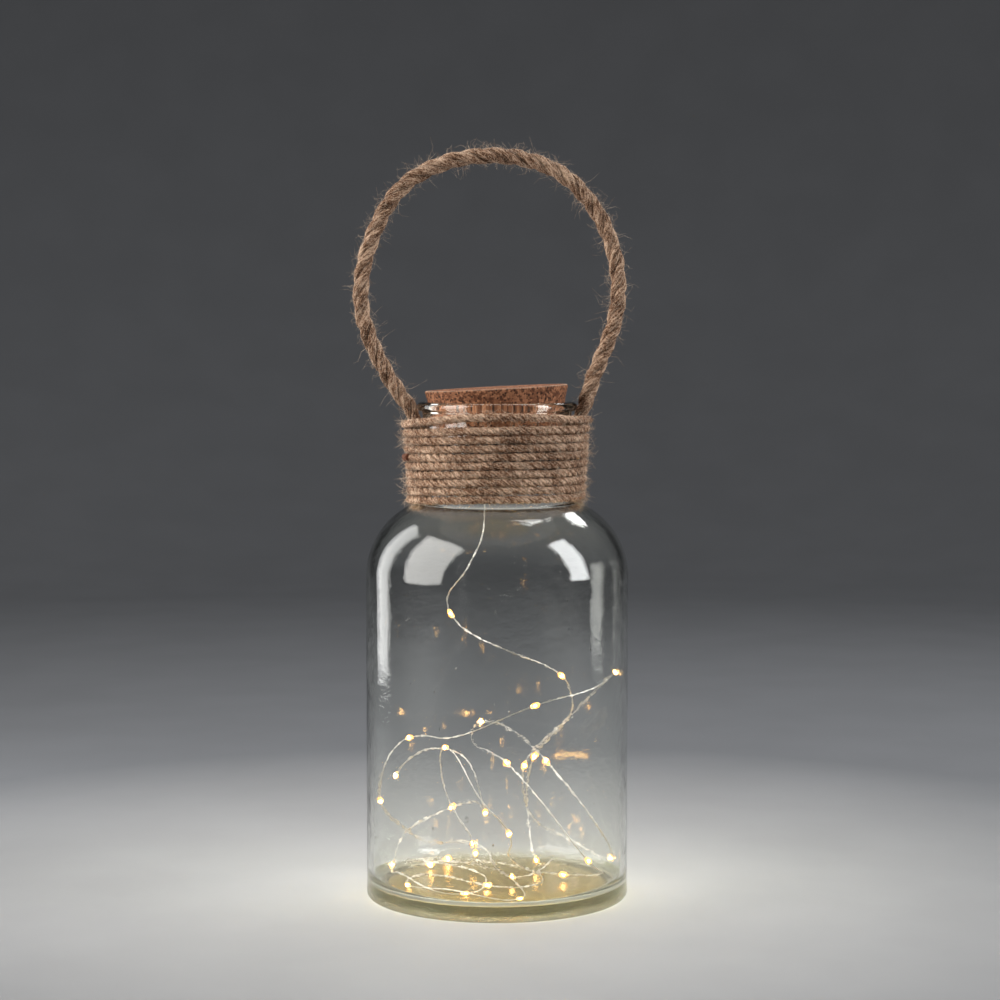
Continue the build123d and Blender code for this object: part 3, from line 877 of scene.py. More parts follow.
class GrowthTree:
    """A Geometry Nodes tree with named inputs that grows plain meshes."""

    def __init__(self, name: str, inputs: dict[str, str]) -> None:
        """Make the tree and its inputs.

        Args:
            name: The tree's name.
            inputs: Each input's name and socket type.
        """
        self.tree = bpy.data.node_groups.new(name, "GeometryNodeTree")
        face = self.tree.interface
        face.new_socket("Geometry", in_out="INPUT", socket_type="NodeSocketGeometry")
        face.new_socket("Geometry", in_out="OUTPUT", socket_type="NodeSocketGeometry")
        kinds = dict(inputs, Material="NodeSocketMaterial")
        self.keys = {
            label: face.new_socket(label, in_out="INPUT", socket_type=kind).identifier
            for label, kind in kinds.items()
        }
        self.sheet = NodeSheet(self.tree)
        self.start = self.tree.nodes.new("NodeGroupInput")
        grown = self.sheet.add("GeometryNodeRealizeInstances", {}, {"Geometry": self.grow_shape()})
        feeds = {"Geometry": grown, "Material": self.given("Material")}
        painted = self.sheet.add("GeometryNodeSetMaterial", {}, feeds)
        end = self.tree.nodes.new("NodeGroupOutput")
        self.tree.links.new(painted.socket, end.inputs["Geometry"])

    def given(self, label: str) -> Wired:
        """Return one of the tree's inputs."""
        return Wired(self.sheet, self.start.outputs[label])

    def grow_shape(self) -> Wired:
        """Add the nodes that make the shape and return its geometry."""
        raise NotImplementedError

    def named(self, name: str, kind: str = "FLOAT_VECTOR") -> Wired:
        """Return an attribute of the geometry."""
        settings = {"data_type": kind}
        return self.sheet.add("GeometryNodeInputNamedAttribute", settings, {"Name": name}, "Attribute")

    def stored(self, geometry: Wired, name: str, value: Wired, kind: str = "FLOAT_VECTOR") -> Wired:
        """Return the geometry with an attribute stored on its points.

        Args:
            geometry: The geometry.
            name: The attribute's name.
            value: Its value.
            kind: Its data type.

        Returns:
            The geometry.
        """
        settings = {"data_type": kind, "domain": "POINT"}
        feeds = {"Geometry": geometry, "Name": name, "Value": value}
        return self.sheet.add("GeometryNodeStoreNamedAttribute", settings, feeds)

    def drawn(self, low: object, high: object, number: int) -> Wired:
        """Return a random value per point, its seed set off by a number."""
        feeds = {"Min": low, "Max": high, "Seed": self.given("Seed") + number}
        return self.sheet.add("FunctionNodeRandomValue", {"data_type": "FLOAT"}, feeds, "Value")

    def turned(self, way: Wired, axis: Place, angle: Wired) -> Wired:
        """Return a rotation turned on by an angle about one of its own axes.

        Args:
            way: The rotation.
            axis: The axis.
            angle: The angle in radians.

        Returns:
            The new rotation.
        """
        feeds = {"Axis": axis, "Angle": angle}
        turn = self.sheet.add("FunctionNodeAxisAngleToRotation", {}, feeds)
        feeds = {"Rotation": way, "Rotate By": turn}
        return self.sheet.add("FunctionNodeRotateRotation", {"rotation_space": "LOCAL"}, feeds)

    def scattered(self) -> Wired:
        """Return points spread over the surface at the tree's density and seed.

        Returns:
            The points.
        """
        feeds = {label: self.given(label) for label in ("Density", "Seed")}
        feeds["Mesh"] = self.given("Geometry")
        return self.sheet.add("GeometryNodeDistributePointsOnFaces", {}, feeds)

    def placed(self, points: Wired, shape: Wired, way: Wired | None, size: Wired) -> Wired:
        """Return a copy of a shape on each point, turned where a rotation is given.

        Args:
            points: The points.
            shape: What is copied.
            way: The rotation on each point.
            size: The scale on each point.

        Returns:
            The instances.
        """
        feeds = {"Points": points, "Instance": shape, "Scale": size}
        if way:
            feeds["Rotation"] = way
        return self.sheet.add("GeometryNodeInstanceOnPoints", {}, feeds)

    def grow(self, name: str, start: bpy.types.Mesh, values: dict[str, object]) -> bpy.types.Object:
        """Run the tree on a mesh.

        Args:
            name: The new piece's name.
            start: The mesh that the tree starts from.
            values: The tree's inputs by name.

        Returns:
            An object at the origin with the grown mesh.
        """
        holder = bpy.data.objects.new(name + "_start", start)
        bpy.context.scene.collection.objects.link(holder)
        modifier = holder.modifiers.new("growth", "NODES")
        modifier.node_group = self.tree
        for label, value in values.items():
            modifier[self.keys[label]] = value
        graph = bpy.context.evaluated_depsgraph_get()
        grown = bpy.data.meshes.new_from_object(holder.evaluated_get(graph), depsgraph=graph)
        holder.modifiers.remove(modifier)
        bpy.data.objects.remove(holder)
        return new_object(name, grown)


class StrandTree(GrowthTree):
    """Twists several strands round a line that carries stations and sides."""

    def __init__(self) -> None:
        """Make the tree with its inputs."""
        sizes = ("Lay", "Offset", "Radius", "Step", "Fibre Lay", "Stretch", "Lump", "Lump Scale", "Unit")
        inputs = {label: "NodeSocketFloat" for label in sizes}
        inputs |= {"Strands": "NodeSocketInt", "Sides": "NodeSocketInt"}
        super().__init__("strands", inputs)

    def grow_shape(self) -> Wired:
        """Offset copies of the line and give each a tube of fibres.

        Returns:
            The strands.
        """
        s = self.sheet
        line = s.add("GeometryNodeMeshToCurve", {}, {"Mesh": self.given("Geometry")})
        feeds = {"Curve": line, "Length": self.given("Step")}
        line = s.add("GeometryNodeResampleCurve", {"mode": "LENGTH"}, feeds)
        feeds = {"Geometry": line, "Amount": self.given("Strands")}
        copies = s.add("GeometryNodeDuplicateElements", {"domain": "SPLINE"}, feeds)
        strand = copies.other("Duplicate Index")
        line = self.stored(copies, "strand", strand, "FLOAT")
        station, side = self.named("station", "FLOAT"), self.named("side")
        number = self.named("strand", "FLOAT")
        tangent = s.add("GeometryNodeInputTangent")
        across = s.vector("CROSS_PRODUCT", tangent, side)
        angle = TURN * (station / self.given("Lay") + number / self.given("Strands"))
        away = s.vector("ADD", s.scaled(side, angle.cosine()), s.scaled(across, angle.sine()))
        swing_place = s.joined(station * 60, number * 9, 0.0)
        swing = 0.82 + 0.36 * s.noise(swing_place, 1.0, 1.0)
        offset = s.scaled(away, self.given("Offset") * swing)
        line = s.add("GeometryNodeSetPosition", {}, {"Geometry": line, "Offset": offset})
        line = self.stored(line, "away", away)
        feeds = {"Resolution": self.given("Sides"), "Radius": self.given("Radius")}
        ring = s.add("GeometryNodeCurvePrimitiveCircle", {"mode": "RADIUS"}, feeds)
        ring_place = s.scaled(s.add("GeometryNodeInputPosition"), 1 / self.given("Radius"))
        ring = self.stored(ring, "ring", ring_place)
        feeds = {"Curve": line, "Profile Curve": ring, "Fill Caps": True}
        tube = s.add("GeometryNodeCurveToMesh", {}, feeds)
        return self._dressed(tube, station, number)

    def _dressed(self, tube: Wired, station: Wired, number: Wired) -> Wired:
        """Store the fibre coordinates and the painted shade between strands, and lump the tube along them.

        Args:
            tube: The plain tubes.
            station: The length along the line.
            number: The strand's number.

        Returns:
            The tubes with their fibres.
        """
        s = self.sheet
        ring = s.add("ShaderNodeSeparateXYZ", {}, {"Vector": self.named("ring")}, "X")
        ring_x, ring_y = ring, ring.other("Y")
        turn = TURN * station / self.given("Fibre Lay")
        wide = self.given("Radius") / self.given("Unit")
        fibre_x = (ring_x * turn.cosine() - ring_y * turn.sine()) * wide + number * 7.3
        fibre_y = (ring_x * turn.sine() + ring_y * turn.cosine()) * wide + number * 3.1
        lay = s.joined(fibre_x, fibre_y, station / self.given("Unit") * self.given("Stretch"))
        tube = self.stored(tube, "lay", lay)
        normal = s.add("GeometryNodeInputNormal")
        facing = s.vector("DOT_PRODUCT", normal, self.named("away"), out="Value")
        # Painted shade: mark where the strand faces in between the strands, for the finish to darken.
        tube = self.stored(tube, "groove", (-1 * facing).above(-0.45, 0.35), "FLOAT")
        feeds = {"Vector": self.named("lay"), "Scale": self.given("Lump Scale"), "Detail": 2.0}
        lump = (s.add("ShaderNodeTexNoise", {}, feeds) - 0.5) * self.given("Lump")
        feeds = {"Geometry": tube, "Offset": s.scaled(normal, lump)}
        return s.add("GeometryNodeSetPosition", {}, feeds)


@dataclass(frozen=True)
class StrandSizes:
    """What the strand tree is given. Lengths are in millimetres."""

    strands: int
    lay: float
    offset: float
    radius: float
    sides: int
    step: float
    fibre_lay: float
    stretch: float
    lump: float
    lump_scale: float

    def inputs(self, finish: Finish) -> dict[str, object]:
        """Return the tree's inputs by name, in metres, with a finish.

        Args:
            finish: The strands' finish.

        Returns:
            The values by name.
        """
        return {
            "Strands": self.strands,
            "Lay": self.lay * MM,
            "Offset": self.offset * MM,
            "Radius": self.radius * MM,
            "Sides": self.sides,
            "Step": self.step * MM,
            "Fibre Lay": self.fibre_lay * MM,
            "Stretch": self.stretch,
            "Lump": self.lump * MM,
            "Lump Scale": self.lump_scale,
            "Unit": MM,
            "Material": finish.material(),
        }


class FibreTree(GrowthTree):
    """Grows curled loose fibres out of a surface."""

    def __init__(self) -> None:
        """Make the tree with its inputs."""
        sizes = ("Density", "Shortest", "Longest", "Least Tilt", "Most Tilt", "Curl", "Thickness")
        inputs = {label: "NodeSocketFloat" for label in sizes}
        inputs |= {"Seed": "NodeSocketInt", "Points": "NodeSocketInt", "Pull": "NodeSocketVector"}
        super().__init__("loose_fibres", inputs)

    def grow_shape(self) -> Wired:
        """Set lines on the surface, tilt and curl them, and give them a skin.

        Returns:
            The fibres.
        """
        s = self.sheet
        roots = self.scattered()
        way = self.turned(roots.other("Rotation"), (0.0, 0.0, 1.0), self.drawn(0.0, TURN, 1))
        tilt = self.drawn(self.given("Least Tilt"), self.given("Most Tilt"), 2)
        way = self.turned(way, (1.0, 0.0, 0.0), tilt)
        reach = self.drawn(0.0, 1.0, 3) ** 4
        length = self.given("Shortest") + (self.given("Longest") - self.given("Shortest")) * reach
        roots = self.stored(roots, "reach", length, "FLOAT")
        feeds = {"Start": (0.0, 0.0, 0.0), "End": (0.0, 0.0, 1.0)}
        hair = s.add("GeometryNodeCurvePrimitiveLine", {}, feeds)
        feeds = {"Curve": hair, "Count": self.given("Points")}
        hair = s.add("GeometryNodeResampleCurve", {"mode": "COUNT"}, feeds)
        hairs = self.placed(roots, hair, way, s.joined(length, length, length))
        hairs = s.add("GeometryNodeRealizeInstances", {}, {"Geometry": hairs})
        share = s.add("GeometryNodeSplineParameter", {}, {}, "Factor")
        place = s.add("GeometryNodeInputPosition")
        feeds = {"Vector": place, "Scale": 260.0, "Detail": 1.0}
        wander = s.add("ShaderNodeTexNoise", {}, feeds, "Color")
        wander = s.vector("SUBTRACT", wander, (0.5, 0.5, 0.5))
        bent = s.scaled(wander, self.given("Curl") * self.named("reach", "FLOAT") * share**1.4)
        bent = s.vector("ADD", bent, s.scaled(self.given("Pull"), share**1.6))
        hairs = s.add("GeometryNodeSetPosition", {}, {"Geometry": hairs, "Offset": bent})
        feeds = {"Resolution": 3, "Radius": self.given("Thickness")}
        ring = s.add("GeometryNodeCurvePrimitiveCircle", {"mode": "RADIUS"}, feeds)
        feeds = {"Curve": hairs, "Profile Curve": ring, "Scale": 1.05 - 0.7 * share, "Fill Caps": True}
        return s.add("GeometryNodeCurveToMesh", {}, feeds)


@dataclass(frozen=True)
class FibreSizes:
    """What the fibre tree is given. Lengths are in millimetres, the density is for a square metre."""

    density: float
    shortest: float
    longest: float
    least_tilt: float
    most_tilt: float
    curl: float
    thickness: float
    points: int
    seed: int
    pull: Place = (0.0, 0.0, 0.0)

    def inputs(self) -> dict[str, object]:
        """Return the tree's inputs by name, in metres.

        Returns:
            The values by name.
        """
        return {
            "Density": self.density,
            "Shortest": self.shortest * MM,
            "Longest": self.longest * MM,
            "Least Tilt": self.least_tilt,
            "Most Tilt": self.most_tilt,
            "Curl": self.curl,
            "Thickness": self.thickness * MM,
            "Points": self.points,
            "Seed": self.seed,
            "Pull": tuple(c * MM for c in self.pull),
            "Material": LOOSE_FIBRE.material(),
        }


class StationTree(GrowthTree):
    """Sets one shape on each point of a mesh, along the point's own direction."""

    def __init__(self) -> None:
        """Make the tree with its inputs."""
        inputs = {"Shape": "NodeSocketObject", "Change": "NodeSocketFloat", "Seed": "NodeSocketInt"}
        super().__init__("along_stations", inputs)

    def grow_shape(self) -> Wired:
        """Turn each copy to its direction and roll and size it at random.

        Returns:
            The copies.
        """
        s = self.sheet
        feeds = {"Object": self.given("Shape"), "As Instance": True}
        shape = s.add("GeometryNodeObjectInfo", {"transform_space": "ORIGINAL"}, feeds, "Geometry")
        feeds = {"Vector": self.named("along")}
        way = s.add("FunctionNodeAlignRotationToVector", {"axis": "Z"}, feeds)
        way = self.turned(way, (0.0, 0.0, 1.0), self.drawn(0.0, TURN, 0))
        change = self.given("Change")
        size = self.drawn(1 - change, 1 + change, 1)
        return self.placed(self.given("Geometry"), shape, way, s.joined(size, size, size))


class BubbleTree(GrowthTree):
    """Scatters drawn-out air bubbles over a surface in the middle of the glass."""

    def __init__(self) -> None:
        """Make the tree with its inputs."""
        sizes = ("Density", "Smallest", "Largest", "Least Draw", "Most Draw")
        inputs = {label: "NodeSocketFloat" for label in sizes}
        super().__init__("air_bubbles", dict(inputs, Seed="NodeSocketInt"))

    def grow_shape(self) -> Wired:
        """Set small round shapes on the surface and draw each out upwards.

        Returns:
            The bubbles.
        """
        s = self.sheet
        roots = self.scattered()
        ball = s.add("GeometryNodeMeshIcoSphere", {}, {"Radius": 1.0, "Subdivisions": 2})
        size = self.drawn(self.given("Smallest"), self.given("Largest"), 1)
        draw = self.drawn(self.given("Least Draw"), self.given("Most Draw"), 2)
        balls = self.placed(roots, ball, None, s.joined(size, size, size * draw))
        return s.add("GeometryNodeSetShadeSmooth", {}, {"Geometry": balls})


# Meshes and lines


def new_object(name: str, mesh: bpy.types.Mesh) -> bpy.types.Object:
    """Put a mesh into the scene as an object at the origin.

    Args:
        name: The name of both.
        mesh: The mesh.

    Returns:
        The object.
    """
    mesh.name = name
    made = bpy.data.objects.new(name, mesh)
    bpy.context.scene.collection.objects.link(made)
    return made


def smooth(piece: bpy.types.Object) -> bpy.types.Object:
    """Shade all faces of a piece smooth.

    Args:
        piece: The piece.

    Returns:
        The same piece.
    """
    piece.data.polygons.foreach_set("use_smooth", [True] * len(piece.data.polygons))
    piece.data.update()
    return piece


def lathe(name: str, profile: list[Flat], sides: int) -> bpy.types.Mesh:
    """Turn a profile about the Z axis into a closed mesh.

    Args:
        name: The mesh's name.
        profile: Radius and height of each point, in metres. The first and the last
            lie on the axis, and the solid is to the left of the way through them.
        sides: The number of sides.

    Returns:
        The mesh, its faces outwards.
    """
    rings = profile[1:-1]
    angles = np.arange(sides) * TURN / sides
    points = [(0.0, 0.0, profile[0][1])]
    for radius, height in rings:
        points += [(radius * math.cos(a), radius * math.sin(a), height) for a in angles]
    points.append((0.0, 0.0, profile[-1][1]))
    last = len(points) - 1
    faces = [(0, 1 + (i + 1) % sides, 1 + i) for i in range(sides)]
    for ring in range(len(rings) - 1):
        low, high = 1 + ring * sides, 1 + (ring + 1) * sides
        for i in range(sides):
            j = (i + 1) % sides
            faces.append((low + i, low + j, high + j, high + i))
    top = 1 + (len(rings) - 1) * sides
    faces += [(top + i, top + (i + 1) % sides, last) for i in range(sides)]
    mesh = bpy.data.meshes.new(name)
    mesh.from_pydata(points, [], faces)
    return mesh


def in_metres(profile: list[Flat]) -> list[Flat]:
    """Return the points of a profile given in millimetres."""
    return [(r * MM, z * MM) for r, z in profile]


def arc(centre: Flat, radius: float, first: float, last: float, steps: int) -> list[Flat]:
    """Return points of an arc.

    Args:
        centre: The arc's centre.
        radius: Its radius.
        first: The angle of the first point, in degrees.
        last: The angle of the last point, in degrees.
        steps: The number of steps between them.

    Returns:
        The points, both ends included.
    """
    angles = np.radians(np.linspace(first, last, steps + 1))
    return [(centre[0] + radius * math.cos(a), centre[1] + radius * math.sin(a)) for a in angles]


def spread(first: Flat, last: Flat, step: float) -> list[Flat]:
    """Return points on a line at about a step apart, without its two ends.

    Args:
        first: The line's first end.
        last: Its last end.
        step: The step.

    Returns:
        The points between the ends.
    """
    count = max(1, round(math.dist(first, last) / step))
    shares = [i / count for i in range(1, count)]
    across, up = last[0] - first[0], last[1] - first[1]
    return [(first[0] + across * t, first[1] + up * t) for t in shares]


def unit_ball(low: float, high: float, steps: int) -> list[Flat]:
    """Return the profile of a ball of radius 1, its arc between two angles in degrees."""
    return [(0.0, -1.0)] + arc((0.0, 0.0), 1.0, low, high, steps) + [(0.0, 1.0)]


class RoutedLine:
    """A smooth line along a route, and the points read from it."""

    def __init__(self, name: str, route: list[Vector], per_run: int) -> None:
        """Make the spline and read its points.

        Args:
            name: The curve's name.
            route: The spline's control points, in metres.
            per_run: The points that each run gets.
        """
        curve = bpy.data.curves.new(name, "CURVE")
        curve.dimensions = "3D"
        spline = curve.splines.new("NURBS")
        spline.points.add(len(route) - 1)
        for point, place in zip(spline.points, route):
            point.co = (*place, 1.0)
        spline.order_u = 3
        spline.use_endpoint_u = True
        spline.resolution_u = per_run
        holder = bpy.data.objects.new(name, curve)
        bpy.context.scene.collection.objects.link(holder)
        mesh = bpy.data.meshes.new_from_object(holder)
        self.points = [v.co.copy() for v in mesh.vertices]
        bpy.data.objects.remove(holder)
        bpy.data.meshes.remove(mesh)

    def length(self) -> float:
        """Return the line's length in metres."""
        return sum((b - a).length for a, b in zip(self.points, self.points[1:]))

    def strand_start(
        self,
        name: str,
        side: Vector | None = None,
        first: int = 0,
        last: int | None = None,
    ) -> bpy.types.Mesh:
        """Make the mesh line that the strand tree starts from.

        Args:
            name: The mesh's name.
            side: A fixed direction for the strands' zero, or None to carry one along.
            first: The number of the first point used.
            last: The number after the last point used.

        Returns:
            A mesh of edges with a station and a side at each point.
        """
        stations, sides, carried = [0.0], [], side or Vector((0, 1, 0))
        for a, b in zip(self.points, self.points[1:]):
            stations.append(stations[-1] + (b - a).length)
        for i in range(len(self.points)):
            low, high = self.points[max(i - 1, 0)], self.points[min(i + 1, len(self.points) - 1)]
            way = (high - low).normalized()
            base = side or carried
            carried = (base - way * base.dot(way)).normalized()
            sides.append(carried.copy())
        used = slice(first, last)
        mesh = bpy.data.meshes.new(name)
        count = len(self.points[used])
        mesh.from_pydata(self.points[used], [(i, i + 1) for i in range(count - 1)], [])
        mesh.attributes.new("station", "FLOAT", "POINT").data.foreach_set("value", stations[used])
        flat = [c for v in sides[used] for c in v]
        mesh.attributes.new("side", "FLOAT_VECTOR", "POINT").data.foreach_set("vector", flat)
        return mesh


def table_value(table: Table | list[Flat], place: float) -> float:
    """Read a table of places and values, with straight lines between its rows."""
    return float(np.interp(place, [row[0] for row in table], [row[1] for row in table]))


# The jar


@dataclass
class GlassJar:
    """The jar: one wall of blown glass from the foot to the rounded lip. Sizes are in millimetres."""

    trees: dict[str, GrowthTree]
    body_r: float = 68.5
    wall: float = 3.0
    base: float = 6.5
    foot_width: float = 7.0
    foot_rise: float = 1.6
    foot_arch: float = 1.1
    foot_arch_r: int = 56
    foot_edge: float = 1.6
    foot_flat: float = 0.5
    floor_crown: float = 0.5
    floor_crown_r: int = 58
    heel_r: float = 2.5
    inner_heel_r: float = 8.0
    shoulder_z: float = 168.0
    shoulder_r: float = 41.6
    neck_r: float = 38.7
    neck_wall: float = 2.7
    blend_r: float = 3.0
    rim_z: float = RIM_Z
    bead: float = 5.0
    bead_out: float = 3.0
    bead_square: float = 0.8
    lip: float = 1.2
    sides: int = 224
    foot_step: float = 1.5
    wall_step: float = 2.4
    neck_step: float = 2.5
    bead_span: Zone = (-80.0, 86.0)
    still_r: float = 1.0
    still_z: float = 0.2
    even_from: float = 206.0
    even_run: float = 20.0
    even_foot: float = 12.0
    inner_wave: float = 0.16
    outer_wave: float = 0.06
    fine_wave: float = 0.02
    waves_across: float = 16.0
    waves_up: Zone = (5.0, 8.0)
    bubble_rings: tuple[float, ...] = (20.0, 40.0, 56.0)
    bubble_levels: tuple[int, int, int] = (12, 166, 6)
    bubble_density: float = 1500.0
    bubble_sizes: Zone = (0.1, 0.42)
    bubble_draw: Zone = (1.0, 2.6)

    def _blend(self, arc_r: float, wall_r: float, blend_r: float) -> tuple[Flat, float]:
        """Find the arc between the shoulder and a neck wall.

        Args:
            arc_r: The shoulder arc's radius.
            wall_r: The neck wall's radius.
            blend_r: The radius of the arc between them.

        Returns:
            Its centre and the angle at which it meets the shoulder, in degrees.
        """
        axis_r = self.body_r - self.shoulder_r
        across, reach = wall_r + blend_r - axis_r, arc_r + blend_r
        up = math.sqrt(reach**2 - across**2)
        return (wall_r + blend_r, self.shoulder_z + up), math.degrees(math.atan2(up, across))

    def profile(self) -> list[Flat]:
        """Return the wall's section, in metres, from the foot's middle round to the floor's.

        Returns:
            Radius and height of each point.
        """
        axis = (self.body_r - self.shoulder_r, self.shoulder_z)
        foot_r = self.body_r - self.heel_r
        rise = foot_r - self.foot_width
        mouth_r = self.neck_r - self.neck_wall
        out_c, out_a = self._blend(self.shoulder_r, self.neck_r, self.blend_r)
        in_r = self.shoulder_r - self.wall
        in_blend = self.blend_r + self.neck_wall
        in_c, in_a = self._blend(in_r, mouth_r, in_blend)
        bead_z = self.rim_z - self.bead
        side_r = self.body_r - self.wall
        heel_c = (side_r - self.inner_heel_r, self.base + self.inner_heel_r)
        flat_r = rise + self.foot_flat
        points = [(0.0, self.foot_rise + self.foot_arch)]
        points += [
            (r, self.foot_rise + self.foot_arch * (1 - (r / self.foot_arch_r) ** 2))
            for r in range(4, self.foot_arch_r, 4)
        ]
        points += arc((rise - self.foot_edge, 0.0), self.foot_edge, 115, 20, 5) + [(flat_r, 0.0)]
        points += spread((flat_r, 0), (foot_r - self.foot_flat, 0), self.foot_step)
        points += arc((foot_r, self.heel_r), self.heel_r, -90, 0, 8)
        points += spread((self.body_r, self.heel_r), (self.body_r, self.shoulder_z), self.wall_step)
        points += arc(axis, self.shoulder_r, 0, out_a, 34)
        points += arc(out_c, self.blend_r, out_a - 180, -180, 6)
        points += spread((self.neck_r, out_c[1]), (self.neck_r, bead_z), self.neck_step)
        points += self._bead(bead_z)
        points += arc((mouth_r + self.lip, self.rim_z - self.lip), self.lip, 90, 180, 5)
        points += spread((mouth_r, self.rim_z - self.lip), (mouth_r, in_c[1]), self.neck_step)
        points += arc(in_c, in_blend, 180, in_a + 180, 6)
        points += arc(axis, in_r, in_a, 0, 32)
        points += spread((side_r, self.shoulder_z), (side_r, heel_c[1]), self.wall_step)
        points += arc(heel_c, self.inner_heel_r, 0, -90, 10)
        points += [
            (r, self.base + self.floor_crown * (1 - (r / self.floor_crown_r) ** 2))
            for r in range(self.floor_crown_r - 2, 2, -4)
        ]
        points.append((0.0, self.base + self.floor_crown))
        return in_metres(points)

    def _bead(self, bead_z: float) -> list[Flat]:
        """Return the round bead outside the lip.

        Args:
            bead_z: The height of its lower edge.

        Returns:
            Radius and height of each point.
        """
        half = self.bead / 2
        points = []
        for angle in np.radians(np.linspace(*self.bead_span, 16)):
            out = self.bead_out * math.cos(angle) ** self.bead_square
            points.append((self.neck_r + out, bead_z + half + half * math.sin(angle)))
        return points

    def _shape_by_hand(self, mesh: bpy.types.Mesh) -> None:
        """Give the wall the slight unevenness of blown glass.

        Args:
            mesh: The turned wall.
        """
        neck_z = self.even_from * MM
        for vertex in mesh.vertices:
            place = vertex.co
            radius = math.hypot(place.x, place.y)
            if radius < self.still_r * MM or place.z < self.still_z * MM:
                continue
            inner = self._is_inner(radius, place.z)
            fade = min(1.0, max(0.0, (neck_z - place.z) / (self.even_run * MM)))
            fade *= min(1.0, place.z / (self.even_foot * MM))
            up = self.waves_up[0 if inner else 1]
            bend = Vector((place.x * self.waves_across, place.y * self.waves_across, place.z * up))
            reach = (self.inner_wave if inner else self.outer_wave) * MM
            shift = reach * fade * noise.noise(bend + Vector((3, 7, 11 if inner else 29)))
            ripple = self.fine_wave * MM * fade * noise.noise(bend * 4.0)
            place.x *= (radius + shift + ripple) / radius
            place.y *= (radius + shift + ripple) / radius

    def _is_inner(self, radius: float, height: float) -> bool:
        """Tell whether a point is on the inside of the wall.

        Args:
            radius: The point's radius in metres.
            height: Its height in metres.

        Returns:
            True for the inside.
        """
        r, z = radius / MM, height / MM
        if z <= self.shoulder_z:
            return r < self.body_r - self.wall / 2 and z > self.base / 2
        axis_r = self.body_r - self.shoulder_r
        return math.hypot(r - axis_r, z - self.shoulder_z) < self.shoulder_r - self.wall / 2

    def build(self) -> None:
        """Build the glass and the bubbles in it."""
        self._glass()
        self._bubbles()

    def _glass(self) -> None:
        """Build the wall."""
        mesh = lathe("jar_glass", self.profile(), self.sides)
        self._shape_by_hand(mesh)
        glass = smooth(new_object("jar_glass", mesh))
        glass.data.materials.append(JAR_GLASS.material())
        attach(glass, Body.JAR.value)
        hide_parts("glass_jar")
        LOG.info("jar_glass: %d faces", len(glass.data.polygons))

    def _bubbles(self) -> None:
        """Scatter air bubbles over the middle of the wall."""
        middle = self.body_r - self.wall / 2
        levels = [(middle, float(z)) for z in range(*self.bubble_levels)]
        skin = [(0.0, self.base / 2)] + [(r, self.base / 2) for r in self.bubble_rings]
        skin += levels + [(0.0, self.shoulder_z)]
        core = lathe("wall_middle", in_metres(skin), 48)
        keep = [tuple(p.vertices) for p in core.polygons if len(p.vertices) == 4]
        open_core = bpy.data.meshes.new("wall_middle_open")
        open_core.from_pydata([v.co for v in core.vertices], [], keep)
        values = {
            "Density": self.bubble_density,
            "Smallest": self.bubble_sizes[0] * MM,
            "Largest": self.bubble_sizes[1] * MM,
            "Least Draw": self.bubble_draw[0],
            "Most Draw": self.bubble_draw[1],
            "Seed": 11,
            "Material": AIR.material(),
        }
        bubbles = self.trees["bubbles"].grow("glass_bubbles", open_core, values)
        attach(bubbles, Body.JAR.value)
        LOG.info("glass_bubbles: %d faces", len(bubbles.data.polygons))


# Rope and twine


